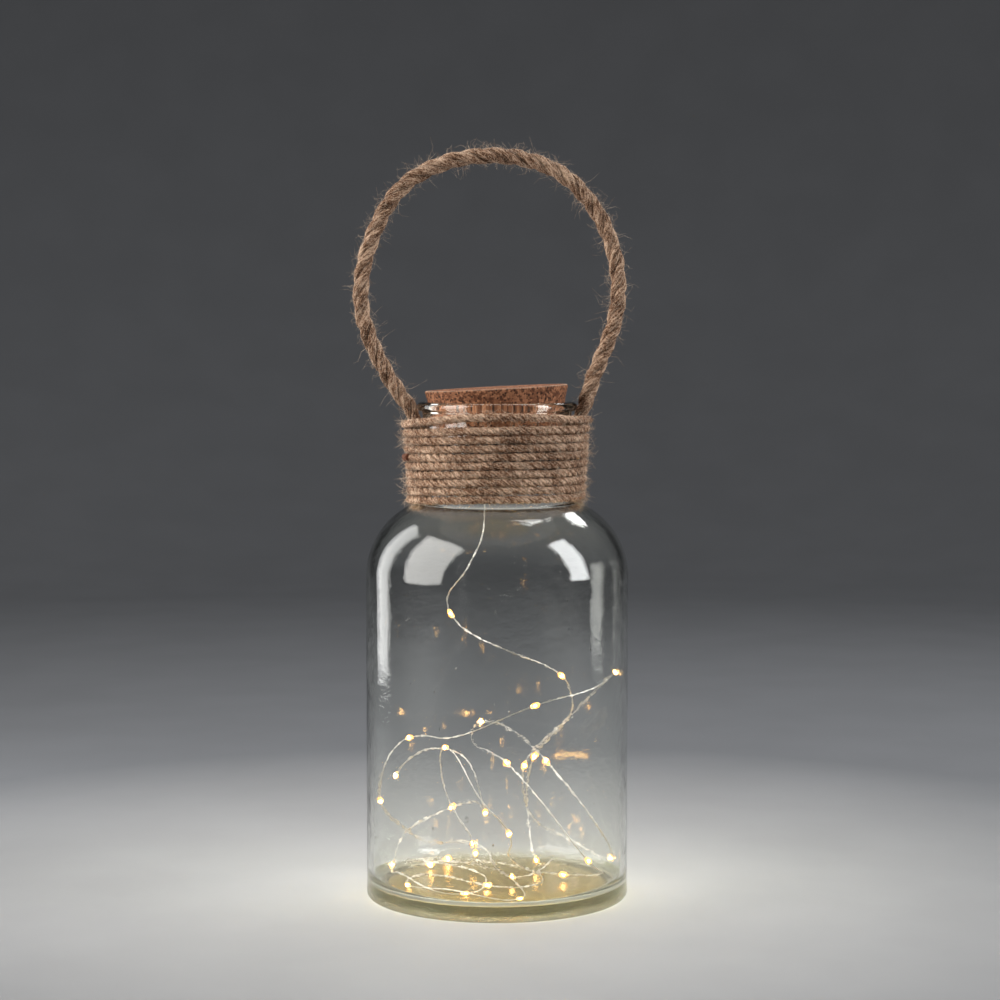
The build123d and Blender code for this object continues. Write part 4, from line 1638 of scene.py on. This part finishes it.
@dataclass
class Handle:
    """The rope: an arch over the cork whose two ends lie flat under the winding. Sizes are in millimetres."""

    trees: dict[str, GrowthTree]
    diameter: float = 8.2
    pivot_x: float = 46.3
    pivot_z: float = 257.47
    split_z: float = 253.2
    flex_top: float = 22.0
    strands: StrandSizes = StrandSizes(
        strands=3, lay=34.0, offset=1.8, radius=2.4, sides=24, step=0.7,
        fibre_lay=-30.0, stretch=0.26, lump=1.3, lump_scale=0.75,
    )
    fibres: FibreSizes = FibreSizes(
        density=280000.0, shortest=0.8, longest=10.0, least_tilt=0.85, most_tilt=1.5,
        curl=2.2, thickness=0.07, points=4, seed=3,
    )
    left_end: Table = ((-40.6, 209.6), (-41.1, 226.0), (-41.8, 243.0), (-42.9, 251.2))
    right_end: Table = ((42.6, 251.2), (41.3, 243.0), (40.7, 226.0), (40.3, 209.6))
    arch: Table = (
        (-54.4, 10.7), (-61.6, 24.0), (-67.5, 37.1), (-70.8, 51.0), (-70.6, 64.5), (-67.4, 79.5),
        (-62.4, 92.5), (-55.4, 106.1), (-42.6, 118.9), (-21.8, 127.4), (1.6, 129.4), (21.2, 125.6),
        (35.4, 118.7), (45.6, 108.5), (53.8, 96.9), (59.8, 83.1), (62.8, 69.1), (63.2, 54.9),
        (60.9, 42.0), (57.0, 31.1), (52.6, 20.3), (48.6, 10.3),
    )
    left_thickness: Table = ((209.5, 3.5), (243.4, 5.6), (249.1, 6.6), (253.0, 7.2), (259.5, 8.2))
    right_thickness: Table = ((209.5, 2.9), (243.4, 4.8), (249.1, 5.6), (253.0, 6.2), (259.5, 8.2))
    width: Table = ((209.5, 13.0), (243.4, 11.0), (249.1, 9.5), (253.0, 8.6), (259.5, 8.2))

    def route(self) -> list[Vector]:
        """Return the rope's route from the left foot over the arch to the right foot.

        Returns:
            The control points in metres.
        """
        flat = list(self.left_end) + [(-self.pivot_x, self.pivot_z)]
        flat += [(x, self.pivot_z + up) for x, up in self.arch]
        flat += [(self.pivot_x, self.pivot_z)] + list(self.right_end)
        return [Vector((x, 0.0, z)) * MM for x, z in flat]

    def _press(self, piece: bpy.types.Object, line: RoutedLine) -> None:
        """Flatten the rope where it lies under the winding.

        Args:
            piece: A part of the rope.
            line: The rope's whole line.
        """
        low = [p / MM for p in line.points if p.z < self.arch[0][1] * MM + self.pivot_z * MM]
        sides = {
            -1: ([(p.z, p.x) for p in low if p.x < 0], self.left_thickness),
            1: ([(p.z, p.x) for p in reversed(low) if p.x > 0], self.right_thickness),
        }
        top = self.width[-1][0]
        for vertex in piece.data.vertices:
            x, y, z = vertex.co / MM
            if z > top:
                continue
            centre_table, thickness = sides[-1 if x < 0 else 1]
            centre = table_value(centre_table, z)
            pressed = table_value(thickness, z) / self.diameter
            widened = table_value(self.width, z) / self.diameter
            vertex.co = Vector((centre + (x - centre) * pressed, y * widened, z)) * MM

    def _strands(self, name: str, line: RoutedLine, first: int, last: int | None) -> bpy.types.Object:
        """Twist the rope's strands on a part of its line.

        Args:
            name: The piece's name.
            line: The rope's whole line.
            first: The number of the first point used.
            last: The number after the last point used.

        Returns:
            The piece.
        """
        start = line.strand_start(name, Vector((0, 1, 0)), first, last)
        piece = smooth(self.trees["strands"].grow(name, start, self.strands.inputs(ROPE_JUTE)))
        self._press(piece, line)
        return piece

    def build(self) -> None:
        """Build the arch, the two ends and their loose fibres."""
        line = RoutedLine("rope_line", self.route(), 14)
        split = self.split_z * MM
        above = [i for i, p in enumerate(line.points) if p.z > split]
        first, last = above[0], above[-1] + 1
        arch = self._strands("handle_rope", line, first, last)
        left = self._strands("rope_end_left", line, 0, first + 1)
        right = self._strands("rope_end_right", line, last - 1, None)
        skin = arch.data.copy()
        fuzz = self.trees["fibres"].grow("handle_fibres", skin, self.fibres.inputs())
        for piece in (arch, fuzz):
            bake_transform(piece)
        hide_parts("rope_handle")
        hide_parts("rope_tail_left")
        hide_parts("rope_tail_right")
        for piece in (left, right):
            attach(piece, Body.JAR.value)


@dataclass
class NeckWinding:
    """The twine: one length wound round the neck and over the rope ends. Sizes are in millimetres."""

    trees: dict[str, GrowthTree]
    diameter: float = 3.85
    pitch: float = 4.32
    quarters: int = 38
    neck_z: float = 210.07
    foot: float = 0.4
    sag: float = 1.0
    ring_r: float = 40.775
    per_quarter: int = 4
    fit: float = 0.3
    wander: float = 0.34
    wander_rate: float = 1.6
    slack: float = 0.005
    slack_rate: float = 1.7
    strands: StrandSizes = StrandSizes(
        strands=3, lay=14.5, offset=0.9, radius=1.24, sides=10, step=1.05,
        fibre_lay=-12.0, stretch=0.34, lump=1.2, lump_scale=1.0,
    )
    fibres: FibreSizes = FibreSizes(
        density=450000.0, shortest=0.9, longest=7.5, least_tilt=0.95, most_tilt=1.55,
        curl=2.4, thickness=0.095, points=3, seed=5,
    )
    fibre_side: float = 0.25
    lift: float = 2.9
    lifts: Table = (
        (32, 0.0), (33, 0.04), (34, 0.14), (35, 0.3), (36, 0.02), (36.4, 0.3),
        (36.75, 0.9), (37, 1.0), (37.25, 0.9), (37.6, 0.35), (38, 0.05),
    )
    rope_foot: float = 209.47
    rope_waist: float = 243.44
    rope_neck: float = 249.10
    rope_head: float = 253.02
    left_sizes: tuple[float, ...] = (3.5, 5.6, 6.9, 7.45)
    right_sizes: tuple[float, ...] = (2.9, 4.8, 5.6, 6.3)
    rope_skin_r: float = 38.85
    nub_place: Place = (-46.9, -11.0, 230.6)
    nub_size: Place = (2.2, 2.7, 1.9)
    nub_lump: float = 0.28
    nub_lump_scale: float = 1.7

    def _reach(self, right: bool, height: float) -> float:
        """Return the twine's distance from the axis where it crosses a rope end.

        Args:
            right: Whether it is the right rope end.
            height: The twine's height.

        Returns:
            The distance in millimetres.
        """
        levels = (self.rope_foot, self.rope_waist, self.rope_neck, self.rope_head)
        sizes = self.right_sizes if right else self.left_sizes
        rope = table_value(list(zip(levels, sizes)), height)
        return self.rope_skin_r + rope + self.fit + self.diameter / 2

    def _place(self, quarter: float) -> Vector:
        """Return the twine's centre.

        Args:
            quarter: Quarter turns from the left side, by the front.

        Returns:
            The place in millimetres.
        """
        angle = math.pi + quarter * math.pi / 2
        side = math.cos(angle)
        height = self.neck_z + self.foot + self.pitch * (quarter - 1) / 4
        height += self.lift * table_value(self.lifts, quarter) - self.sag * side**2
        wide = self._reach(side > 0, height)
        wander = noise.noise(Vector((quarter * self.wander_rate, 4.2, 1.0)))
        slack = noise.noise(Vector((quarter * self.slack_rate, 9.0, 2.0)))
        loose = 1.0 + self.slack * (1 + slack)
        x, y = wide * side * loose, self.ring_r * math.sin(angle) * loose
        return Vector((x, y, height + self.wander * wander))

    def route(self) -> list[Vector]:
        """Return the control points of the wound line, in metres.

        Returns:
            The control points.
        """
        out = 1 / math.cos(math.pi / 2 / self.per_quarter / 2)
        count = self.quarters * self.per_quarter
        route = []
        for step in range(count + 1):
            place = self._place(step / self.per_quarter)
            route.append(Vector((place.x * out, place.y * out, place.z)) * MM)
        return route

    def build(self) -> None:
        """Build the twine, its loose fibres and the nub of bark in it."""
        line = RoutedLine("twine_line", self.route(), 8)
        start = line.strand_start("neck_twine", Vector((0, 0, 1)))
        values = self.strands.inputs(TWINE_JUTE)
        twine = smooth(self.trees["strands"].grow("neck_twine", start, values))
        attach(twine, Body.JAR.value)
        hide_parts("neck_winding")
        outer = self._outer_faces(twine)
        fuzz = self.trees["fibres"].grow("twine_fibres", outer, self.fibres.inputs())
        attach(fuzz, Body.JAR.value)
        LOG.info("neck_twine: %.0f mm of twine, %d faces", line.length() / MM, len(twine.data.polygons))
        LOG.info("twine_fibres: %d faces", len(fuzz.data.polygons))
        self._nub()

    def _outer_faces(self, twine: bpy.types.Object) -> bpy.types.Mesh:
        """Return the faces of the twine that look away from the jar.

        Args:
            twine: The twine.

        Returns:
            A mesh of these faces.
        """
        mesh = twine.data
        keep = []
        for face in mesh.polygons:
            away = Vector((face.center.x, face.center.y, 0)).normalized()
            if face.normal.dot(away) > self.fibre_side:
                keep.append(tuple(face.vertices))
        outer = bpy.data.meshes.new("twine_outside")
        outer.from_pydata([v.co for v in mesh.vertices], [], keep)
        return outer

    def _nub(self) -> None:
        """Build the small brown nub caught in the twine at the left."""
        mesh = lathe("twine_nub", unit_ball(-75, 75, 10), 20)
        for vertex in mesh.vertices:
            lump = 1 + self.nub_lump * noise.noise(vertex.co * self.nub_lump_scale + Vector((5, 1, 8)))
            rows = zip(self.nub_place, self.nub_size, vertex.co * lump)
            vertex.co = Vector([place + size * part for place, size, part in rows]) * MM
        nub = smooth(new_object("twine_nub", mesh))
        nub.data.materials.append(BARK.material())
        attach(nub, Body.JAR.value)


@dataclass(frozen=True)
class Fray:
    """One frayed foot of the rope. Sizes are in millimetres."""

    name: str
    centre: Place
    size: Place
    pull: Place
    seed: int

    def core(self) -> bpy.types.Mesh:
        """Return the flattened ball that the foot's fibres grow from.

        Returns:
            The mesh.
        """
        centre, size = Vector(self.centre), Vector(self.size)
        core = lathe(self.name + "_core", unit_ball(-70, 70, 6), 14)
        for vertex in core.vertices:
            x, y, z = vertex.co
            vertex.co = (centre + Vector((x * size.x / 2, y * size.y / 2, z * size.z / 2))) * MM
        return core


@dataclass
class RopeTufts:
    """The frayed feet of the rope ends, below the winding."""

    trees: dict[str, GrowthTree]
    frays: tuple[Fray, ...] = (
        Fray("tuft_right", (41.5, -3.0, 209.6), (3.6, 9.0, 2.4), (1.6, -0.6, -2.2), 21),
        Fray("tuft_left", (-42.3, -4.0, 208.6), (2.8, 9.0, 1.8), (-1.2, -0.6, -1.4), 22),
    )
    fibres: FibreSizes = FibreSizes(
        density=5200000.0, shortest=1.6, longest=6.4, least_tilt=0.2, most_tilt=1.2,
        curl=1.6, thickness=0.08, points=5, seed=0,
    )

    def build(self) -> None:
        """Grow both tufts downwards and outwards."""
        for fray in self.frays:
            fibres = replace(self.fibres, seed=fray.seed, pull=fray.pull)
            tuft = self.trees["fibres"].grow(fray.name, fray.core(), fibres.inputs())
            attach(tuft, Body.JAR.value)
            LOG.info("%s: %d faces", fray.name, len(tuft.data.polygons))


# Cork and battery box

STOPPER = Matrix(
    (
        (math.cos(LEAN), 0.0, -math.sin(LEAN), 0.0),
        (0.0, 1.0, 0.0, 0.0),
        (math.sin(LEAN), 0.0, math.cos(LEAN), RIM_Z),
        (0.0, 0.0, 0.0, 1.0),
    )
)


@dataclass
class CorkStopper:
    """The cork: a tapered plug of pressed granules with a worn upper rim. Sizes are in millimetres."""

    top: float = 7.4
    bottom: float = -20.6
    top_r: float = 36.772
    bottom_r: float = 32.337
    flare: float = 0.55
    edge: float = 0.9
    edge_in_share: float = 0.9
    foot_edge: float = 0.5
    foot_rise: float = 0.6
    sides: int = 210
    mesh_step: float = 0.62
    foot_rings: tuple[float, int] = (4.0, 8)
    top_rings: tuple[float, float, int] = (0.7, 2.0, 44)
    granule_scale: float = 0.62
    seam_depth: float = 0.16
    seam_width: float = 0.35
    chip_scale: float = 0.55
    chip_least: float = 0.18
    chip_depth: float = 0.55
    chip_gain: float = 2.2
    chip_run: float = 1.6
    worn_run: float = 1.1
    worn_in: float = 0.3
    top_band: float = 0.05
    middle_r: float = 1.0

    def _profile(self) -> list[Flat]:
        """Return the plug's section in millimetres, with its mouth level at zero.

        Returns:
            Radius and height of each point.
        """
        slope = (self.top_r - self.bottom_r) / (self.top - self.bottom)
        bottom_in = self.bottom_r - self.foot_edge
        inmost, count = self.foot_rings
        points = [(0.0, self.bottom)] + [(r, self.bottom) for r in np.linspace(inmost, bottom_in, count)]
        points += arc((bottom_in, self.bottom + self.foot_edge), self.foot_edge, -80, -10, 3)
        edge_r = self.top_r + self.flare - self.edge * slope - self.edge * self.edge_in_share
        foot = (self.bottom_r + self.foot_edge * slope, self.bottom + self.foot_rise)
        mouth = (self.bottom_r - slope * self.bottom, 0.0)
        shoulder = (self.top_r + self.flare, self.top - self.edge)
        points += spread(foot, mouth, self.mesh_step)
        points += spread(mouth, shoulder, self.mesh_step)
        points += arc((edge_r, self.top - self.edge), self.edge, 8, 90, 6)
        gap, inmost, count = self.top_rings
        points += [(float(r), self.top) for r in np.linspace(edge_r - gap, inmost, count)]
        points.append((0.0, self.top))
        return points

    def _press(self, mesh: bpy.types.Mesh) -> None:
        """Press the seams and chips in, mark the worn rim and lean the plug.

        Args:
            mesh: The turned plug.
        """
        worn = mesh.attributes.new("worn", "FLOAT", "POINT")
        for vertex in mesh.vertices:
            place = vertex.co.copy()
            radius = math.hypot(place.x, place.y)
            rim = math.hypot(radius - self.top_r + self.worn_in, place.z - self.top)
            near, far = noise.voronoi(place * self.granule_scale)[0][:2]
            shift = -self.seam_depth * max(0.0, 1 - (far - near) / self.seam_width)
            bite = noise.noise(place * self.chip_scale + Vector((2, 8, 5)))
            chip = max(0.0, bite - self.chip_least)
            shift -= self.chip_depth * chip * self.chip_gain * max(0.0, 1 - rim / self.chip_run)
            away = Vector((place.x, place.y, 0))
            out = away.normalized() if radius > self.middle_r else Vector((0, 0, 0))
            share = 0.0 if place.z > self.top - self.top_band else 1.0
            lift = Vector((0, 0, 1)) * (1 - share) if place.z > 0 else Vector((0, 0, 0))
            vertex.co = (STOPPER @ (place + (out * share + lift) * shift)) * MM
            worn.data[vertex.index].value = max(0.0, 1 - rim / self.worn_run)

    def build(self) -> None:
        """Turn the plug, press its granules in and dress it."""
        mesh = lathe("cork_plug", self._profile(), self.sides)
        self._press(mesh)
        cork = smooth(new_object("cork_plug", mesh))
        cork.data.materials.append(CORK.material())
        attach(cork, Body.STOPPER.value)
        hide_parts("cork_stopper")
        LOG.info("cork_plug: %d faces", len(cork.data.polygons))


@dataclass
class BatteryBox:
    """The box under the cork: CAD solids that only get their finishes. Sizes are in millimetres."""

    cell_pitch: float = 10.8
    cell_half: float = 22.25
    cell_level: float = -28.15

    def finishes(self) -> dict[str, Finish]:
        """Return the finish of each CAD node of the box.

        Returns:
            The finishes by node.
        """
        black = MouldedFinish("box_plastic", (0.035, 0.035, 0.038), 0.42)
        steel = MetalFinish("zinc_steel", (0.66, 0.66, 0.67), 0.3)
        nickel = MetalFinish("nickel_strip", (0.74, 0.71, 0.66), 0.24)
        green, track, tin = (0.02, 0.13, 0.05), (0.06, 0.3, 0.1), (0.7, 0.7, 0.68)
        found: dict[str, Finish] = {
            "battery_case": black,
            "battery_cover": black,
            "case_screws": steel,
            "cover_screws": steel,
            "spring_contacts": nickel,
            "plate_contacts": nickel,
            "circuit_board": BoardFinish("board", green, track, tin),
            "board_parts": MouldedFinish("chip_package", (0.02, 0.02, 0.022), 0.35),
            "switch_body": MetalFinish("switch_sheet", (0.7, 0.7, 0.7), 0.28),
            "switch_knob": MouldedFinish("knob_plastic", (0.05, 0.05, 0.05), 0.5),
            "wire_grommet": MouldedFinish("soft_rubber", (0.03, 0.03, 0.03), 0.7, 2.0),
            "hookup_wires": MouldedFinish("hookup_sleeve", (0.45, 0.02, 0.015), 0.32),
        }
        for row in range(3):
            origin = STOPPER @ Vector((0.0, (row - 1) * self.cell_pitch, self.cell_level))
            found[f"battery_cell_{row + 1}"] = CellWrapFinish(
                f"cell_wrap_{row + 1}",
                tuple(origin),
                (math.cos(LEAN), 0.0, math.sin(LEAN)),
                self.cell_half,
                1.0 if row % 2 == 0 else -1.0,
            )
        return found

    def build(self) -> None:
        """Put the finishes on the CAD nodes."""
        for node, finish in self.finishes().items():
            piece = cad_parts[node]
            piece.data.materials.clear()
            piece.data.materials.append(finish.material())
            LOG.info("%s: %s", node, finish.name)


# Light string


@dataclass
class LightString:
    """The string: a two-strand wire with thirty lights, in the jar. Sizes are in millimetres.

    Each of the stops is a light's place and the bends between it and the next light.
    """

    trees: dict[str, GrowthTree]
    diameter: float = 0.7
    strands: StrandSizes = StrandSizes(
        strands=2, lay=14.0, offset=0.23, radius=0.19, sides=6, step=1.4,
        fibre_lay=20.0, stretch=0.2, lump=0.0, lump_scale=1.0,
    )
    light_run: float = 18.0
    drop_length: float = 5.2
    drop_diameter: float = 3.0
    drop_blunt: float = 2.3
    drop_round: float = 0.62
    drop_lean: float = 0.05
    drop_flat: float = 0.94
    drop_wave: float = 0.05
    drop_waves: float = 900.0
    drop_change: float = 0.07
    chip_section: Table = ((0.36, 0.8), (0.5, 0.68), (0.56, 0.5))
    outlet: Place = (-8.5, -22.45, -38.4)
    fixed_z: float = 164.3
    lead: tuple[Place, ...] = (
        (-6.2, -23.5, 206), (-6.5, -26, 192), (-12, -28, 180), (-17, -28, 171),
    )
    end_toward: Place = (-40, 36, 56)
    stops: tuple[tuple[Place, tuple[Place, ...]], ...] = (
        ((-24, -15, 150), ((4, -38, 134),)),
        ((33, -25, 119), ((41, 8, 93),)),
        ((20, 34, 67), ((16, 44, 39),)),
        ((21, 25, 12), ((31, -8, 22), (22, -24, 17))),
        ((8, -10, 11), ((-2, 22, 10),)),
        ((-13, 40, 18), ((-38, 45, 16), (-55, 25, 33))),
        ((-61.8, 0, 49.4), ((-58, -22, 72),)),
        ((-45, -20, 86), ((-22, -54, 90),)),
        ((19, -48, 107), ((48, -36, 113),)),
        ((62.6, 0, 117.4), ((55, 24, 106), (38, 46, 84))),
        ((15, 45, 60), ((19, 52, 27), (40, 44, 20))),
        ((61.6, 10, 16.8), ((48, -8, 45),)),
        ((26, 15, 68), ((10, 52, 78),)),
        ((-9, 50, 83), ((-14, 12, 77),)),
        ((5, -15, 72), ((28, -42, 50),)),
        ((46, -35, 25), ((56, -14, 14), (54, -2, 10))),
        ((35, 0, 10), ((14, -6, 14), (4, -26, 26))),
        ((6, -45, 41), ((-9, -60, 61),)),
        ((-26, -38, 84), ((-26, -30, 55),)),
        ((-11, -30, 28), ((-26, -8, 20), (-48, 10, 12))),
        ((-36, 30, 9), ((-16, 28, 11), (-2, 4, 12), (4, -20, 16))),
        ((11.5, -57.5, 9.4), ((-22, -54, 15),)),
        ((-46, -22, 9), ((-42, 2, 10), (-24, 0, 9))),
        ((-5, -20, 9), ((14, -26, 9), (26, -10, 9), (20, 12, 10), (2, 32, 9))),
        ((-27, 43, 9), ((-50, 26, 11), (-47, 4, 18), (-32, -12, 19), (-14, -16, 17), (-4, -26, 14))),
        ((-16, -42, 9), ((-36, -44, 13), (-50, -28, 18))),
        ((-55, -5, 16), ((-50, 18, 30),)),
        ((-24, 10, 44), ((-9, -8, 51),)),
        ((-6, -40, 51), ((-14, -46, 83), (-37, -14, 81))),
        ((-54, 10, 61), ()),
    )

    def route(self) -> tuple[list[Vector], list[tuple[Vector, Vector]]]:
        """Return the wire's control points and each light's place and direction, in metres.

        Returns:
            The control points, and a pair for each light.
        """
        flat = []
        for light, bends in self.stops:
            flat.append((Vector(light), True))
            flat += [(Vector(bend), False) for bend in bends]
        points = [STOPPER @ Vector(self.outlet)] + [Vector(bend) for bend in self.lead]
        lights = []
        for index, (place, is_light) in enumerate(flat):
            if not is_light:
                points.append(place)
                continue
            before = flat[index - 1][0] if index else Vector(self.lead[-1])
            is_last = index + 1 == len(flat)
            after = Vector(self.end_toward) if is_last else flat[index + 1][0]
            along = (after - before).normalized()
            lights.append((place * MM, along))
            points += [place - along * self.light_run / 2, place + along * self.light_run / 2]
        return [p * MM for p in points], lights

    def _drop_shape(self) -> bpy.types.Object:
        """Return one clear drop: a drawn blob, narrower where the wire comes out.

        Returns:
            The drop.
        """
        half, thick = self.drop_length / 2, self.drop_diameter / 2
        steps = np.linspace(-1.0, 1.0, 15)
        profile = [(0.0, -half)]
        for t in steps[1:-1]:
            bulge = (1 - abs(t) ** self.drop_blunt) ** self.drop_round * (1 + self.drop_lean * t)
            profile.append((thick * bulge, half * t))
        profile.append((0.0, half))
        mesh = lathe("drop_shape", in_metres(profile), 16)
        for vertex in mesh.vertices:
            vertex.co.x *= 1 + self.drop_wave * math.sin(self.drop_waves * vertex.co.z)
            vertex.co.y *= self.drop_flat
        return smooth(new_object("drop_shape", mesh))

    def _chip_shape(self) -> bpy.types.Object:
        """Return one chip: a small block with rounded edges.

        Returns:
            The chip.
        """
        end = self.chip_section[0][1]
        low = [(0.0, -end)] + [(r, -z) for r, z in self.chip_section]
        high = [(r, z) for r, z in reversed(self.chip_section)] + [(0.0, end)]
        mesh = lathe("chip_shape", in_metres(low + high), 4)
        for vertex in mesh.vertices:
            x, y = vertex.co.x, vertex.co.y
            vertex.co.x, vertex.co.y = (x - y) * math.sqrt(0.5), (x + y) * math.sqrt(0.5)
        return new_object("chip_shape", mesh)

    def build(self) -> None:
        """Build the wire, the drops and the chips."""
        route, lights = self.route()
        line = RoutedLine("string_line", route, 9)
        start = line.strand_start("light_wire")
        values = self.strands.inputs(SILVER_WIRE)
        wire = smooth(self.trees["strands"].grow("light_wire", start, values))
        pieces = self._lights(lights)
        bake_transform(wire)
        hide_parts("string_wire", "string_lead")

    def _lights(self, lights: list[tuple[Vector, Vector]]) -> dict[str, bpy.types.Object]:
        """Set the drops and the chips along the wire.

        Args:
            lights: Each light's place and direction.

        Returns:
            The two pieces by name.
        """
        stations = bpy.data.meshes.new("light_places")
        stations.from_pydata([place for place, _ in lights], [], [])
        flat = [c for _, along in lights for c in along]
        stations.attributes.new("along", "FLOAT_VECTOR", "POINT").data.foreach_set("vector", flat)
        pieces = {}
        shapes = (
            ("light_drops", self._drop_shape(), RESIN, Slot.DROP, "led_drops", self.drop_change),
            ("light_chips", self._chip_shape(), LIT_CHIP, Slot.LIGHT, "led_chips", 0.0),
        )
        for name, shape, finish, slot, node, change in shapes:
            grow_values = {"Shape": shape, "Change": change, "Seed": 7, "Material": finish.material()}
            piece = self.trees["stations"].grow(name, stations.copy(), grow_values)
            bpy.data.objects.remove(shape)
            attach(piece, Body.JAR.value)
            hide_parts(node)
            pieces[name] = smooth(piece) if slot is Slot.DROP else piece
            LOG.info("%s: %d faces", name, len(piece.data.polygons))
        return pieces


# Stage, lamps and camera


@dataclass(frozen=True)
class Softbox:
    """A soft lamp that faces the object's middle. Sizes are in metres."""

    name: str
    stand: Place
    size: Flat
    watts: float
    tint: Colour = (1.0, 1.0, 1.0)
    aim: Place = (0.0, 0.0, 0.18)

    def hang(self) -> None:
        """Put the lamp into the scene."""
        data = bpy.data.lights.new(self.name, "AREA")
        data.shape = "RECTANGLE"
        data.size, data.size_y = self.size
        data.energy = self.watts
        data.color = self.tint
        lamp = bpy.data.objects.new(self.name, data)
        lamp.location = self.stand
        way = Vector(self.aim) - Vector(self.stand)
        lamp.rotation_euler = way.to_track_quat("-Z", "Y").to_euler()
        bpy.context.scene.collection.objects.link(lamp)


@dataclass
class Studio:
    """A pale floor in a round sweep, soft lamps and the camera. Sizes are in metres."""

    tone: Colour = (0.46, 0.455, 0.447)
    wall: Colour = (0.165, 0.17, 0.18)
    floor_r: float = 1.5
    bend_r: float = 1.0
    wall_band: float = 2.4
    wall_top: float = 4.0
    floor_step: float = 0.3
    air: Colour = (0.92, 0.95, 1.0)
    air_strength: float = 0.25
    softboxes: tuple[Softbox, ...] = (
        Softbox("softbox_left", (-1.22, -0.5, 0.78), (1.1, 1.5), 27.0, (1.0, 0.985, 0.96)),
        Softbox("strip_left", (-0.52, 0.24, 0.33), (0.2, 0.62), 1.2),
        Softbox("softbox_right", (1.2, -0.3, 0.75), (0.45, 1.2), 15.0, (0.97, 0.985, 1.0)),
        Softbox("rim_right", (0.6, 0.82, 1.0), (0.4, 0.2), 2.2),
        Softbox("top_light", (0.1, 0.45, 1.4), (0.8, 0.5), 8.0),
    )
    focal_pixels: float = 2400.0
    frame_pixels: float = 1000.0
    sensor: float = 36.0
    stand: Place = (0.00156, -1.250, 0.291)
    down: float = 3.81
    sight: float = 20.0
    bounces: int = 18
    glass_bounces: int = 16
    clear_bounces: int = 24

    def _sweep(self) -> None:
        """Build the round floor and the wall that it bends up into, facing inwards."""
        flat = [(0.0, 0.0)] + spread((0.0, 0.0), (self.floor_r, 0.0), self.floor_step)
        flat += arc((self.floor_r, self.bend_r), self.bend_r, -90, 0, 14)
        wall_r = self.floor_r + self.bend_r
        profile = flat + [(wall_r, self.wall_band), (wall_r, self.wall_top), (0.0, self.wall_top)]
        dome = lathe("sweep", profile, 96)
        lid = len(dome.vertices) - 1
        open_top = [tuple(reversed(face.vertices)) for face in dome.polygons if lid not in face.vertices]
        mesh = bpy.data.meshes.new("sweep_open")
        mesh.from_pydata([v.co for v in dome.vertices][:lid], [], open_top)
        sweep = smooth(new_object("sweep", mesh))
        sweep.data.materials.append(StudioFinish("studio_sweep", self.tone, self.wall).material())

    def _world(self) -> None:
        """Set the even light of the room."""
        world = bpy.data.worlds.new("studio_air")
        world.use_nodes = True
        inputs = world.node_tree.nodes["Background"].inputs
        inputs["Color"].default_value = (*self.air, 1.0)
        inputs["Strength"].default_value = self.air_strength
        bpy.context.scene.world = world

    def _camera(self) -> None:
        """Set the camera where the photograph was taken from."""
        data = bpy.data.cameras.new("camera")
        data.sensor_width = self.sensor
        data.lens = self.focal_pixels / self.frame_pixels * self.sensor
        data.clip_end = self.sight
        camera = bpy.data.objects.new("camera", data)
        camera.location = self.stand
        camera.rotation_euler = (math.radians(90 - self.down), 0.0, 0.0)
        bpy.context.scene.collection.objects.link(camera)
        bpy.context.scene.camera = camera

    def build(self) -> None:
        """Set the sweep, the lamps, the world and the camera."""
        self._sweep()
        for softbox in self.softboxes:
            softbox.hang()
        self._world()
        self._camera()
        scene = bpy.context.scene
        scene.view_settings.view_transform = "Standard"
        scene.cycles.max_bounces = self.bounces
        scene.cycles.transmission_bounces = self.glass_bounces
        scene.cycles.transparent_max_bounces = self.clear_bounces


def main() -> None:
    """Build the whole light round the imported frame."""
    logging.basicConfig(level=logging.INFO, format="%(name)s %(message)s")
    trees: dict[str, GrowthTree] = {
        "strands": StrandTree(),
        "fibres": FibreTree(),
        "stations": StationTree(),
        "bubbles": BubbleTree(),
    }
    Studio().build()
    Handle(trees).build()
    LightString(trees).build()
    NeckWinding(trees).build()
    RopeTufts(trees).build()
    GlassJar(trees).build()
    CorkStopper().build()
    BatteryBox().build()


if __name__ == "__main__":
    main()
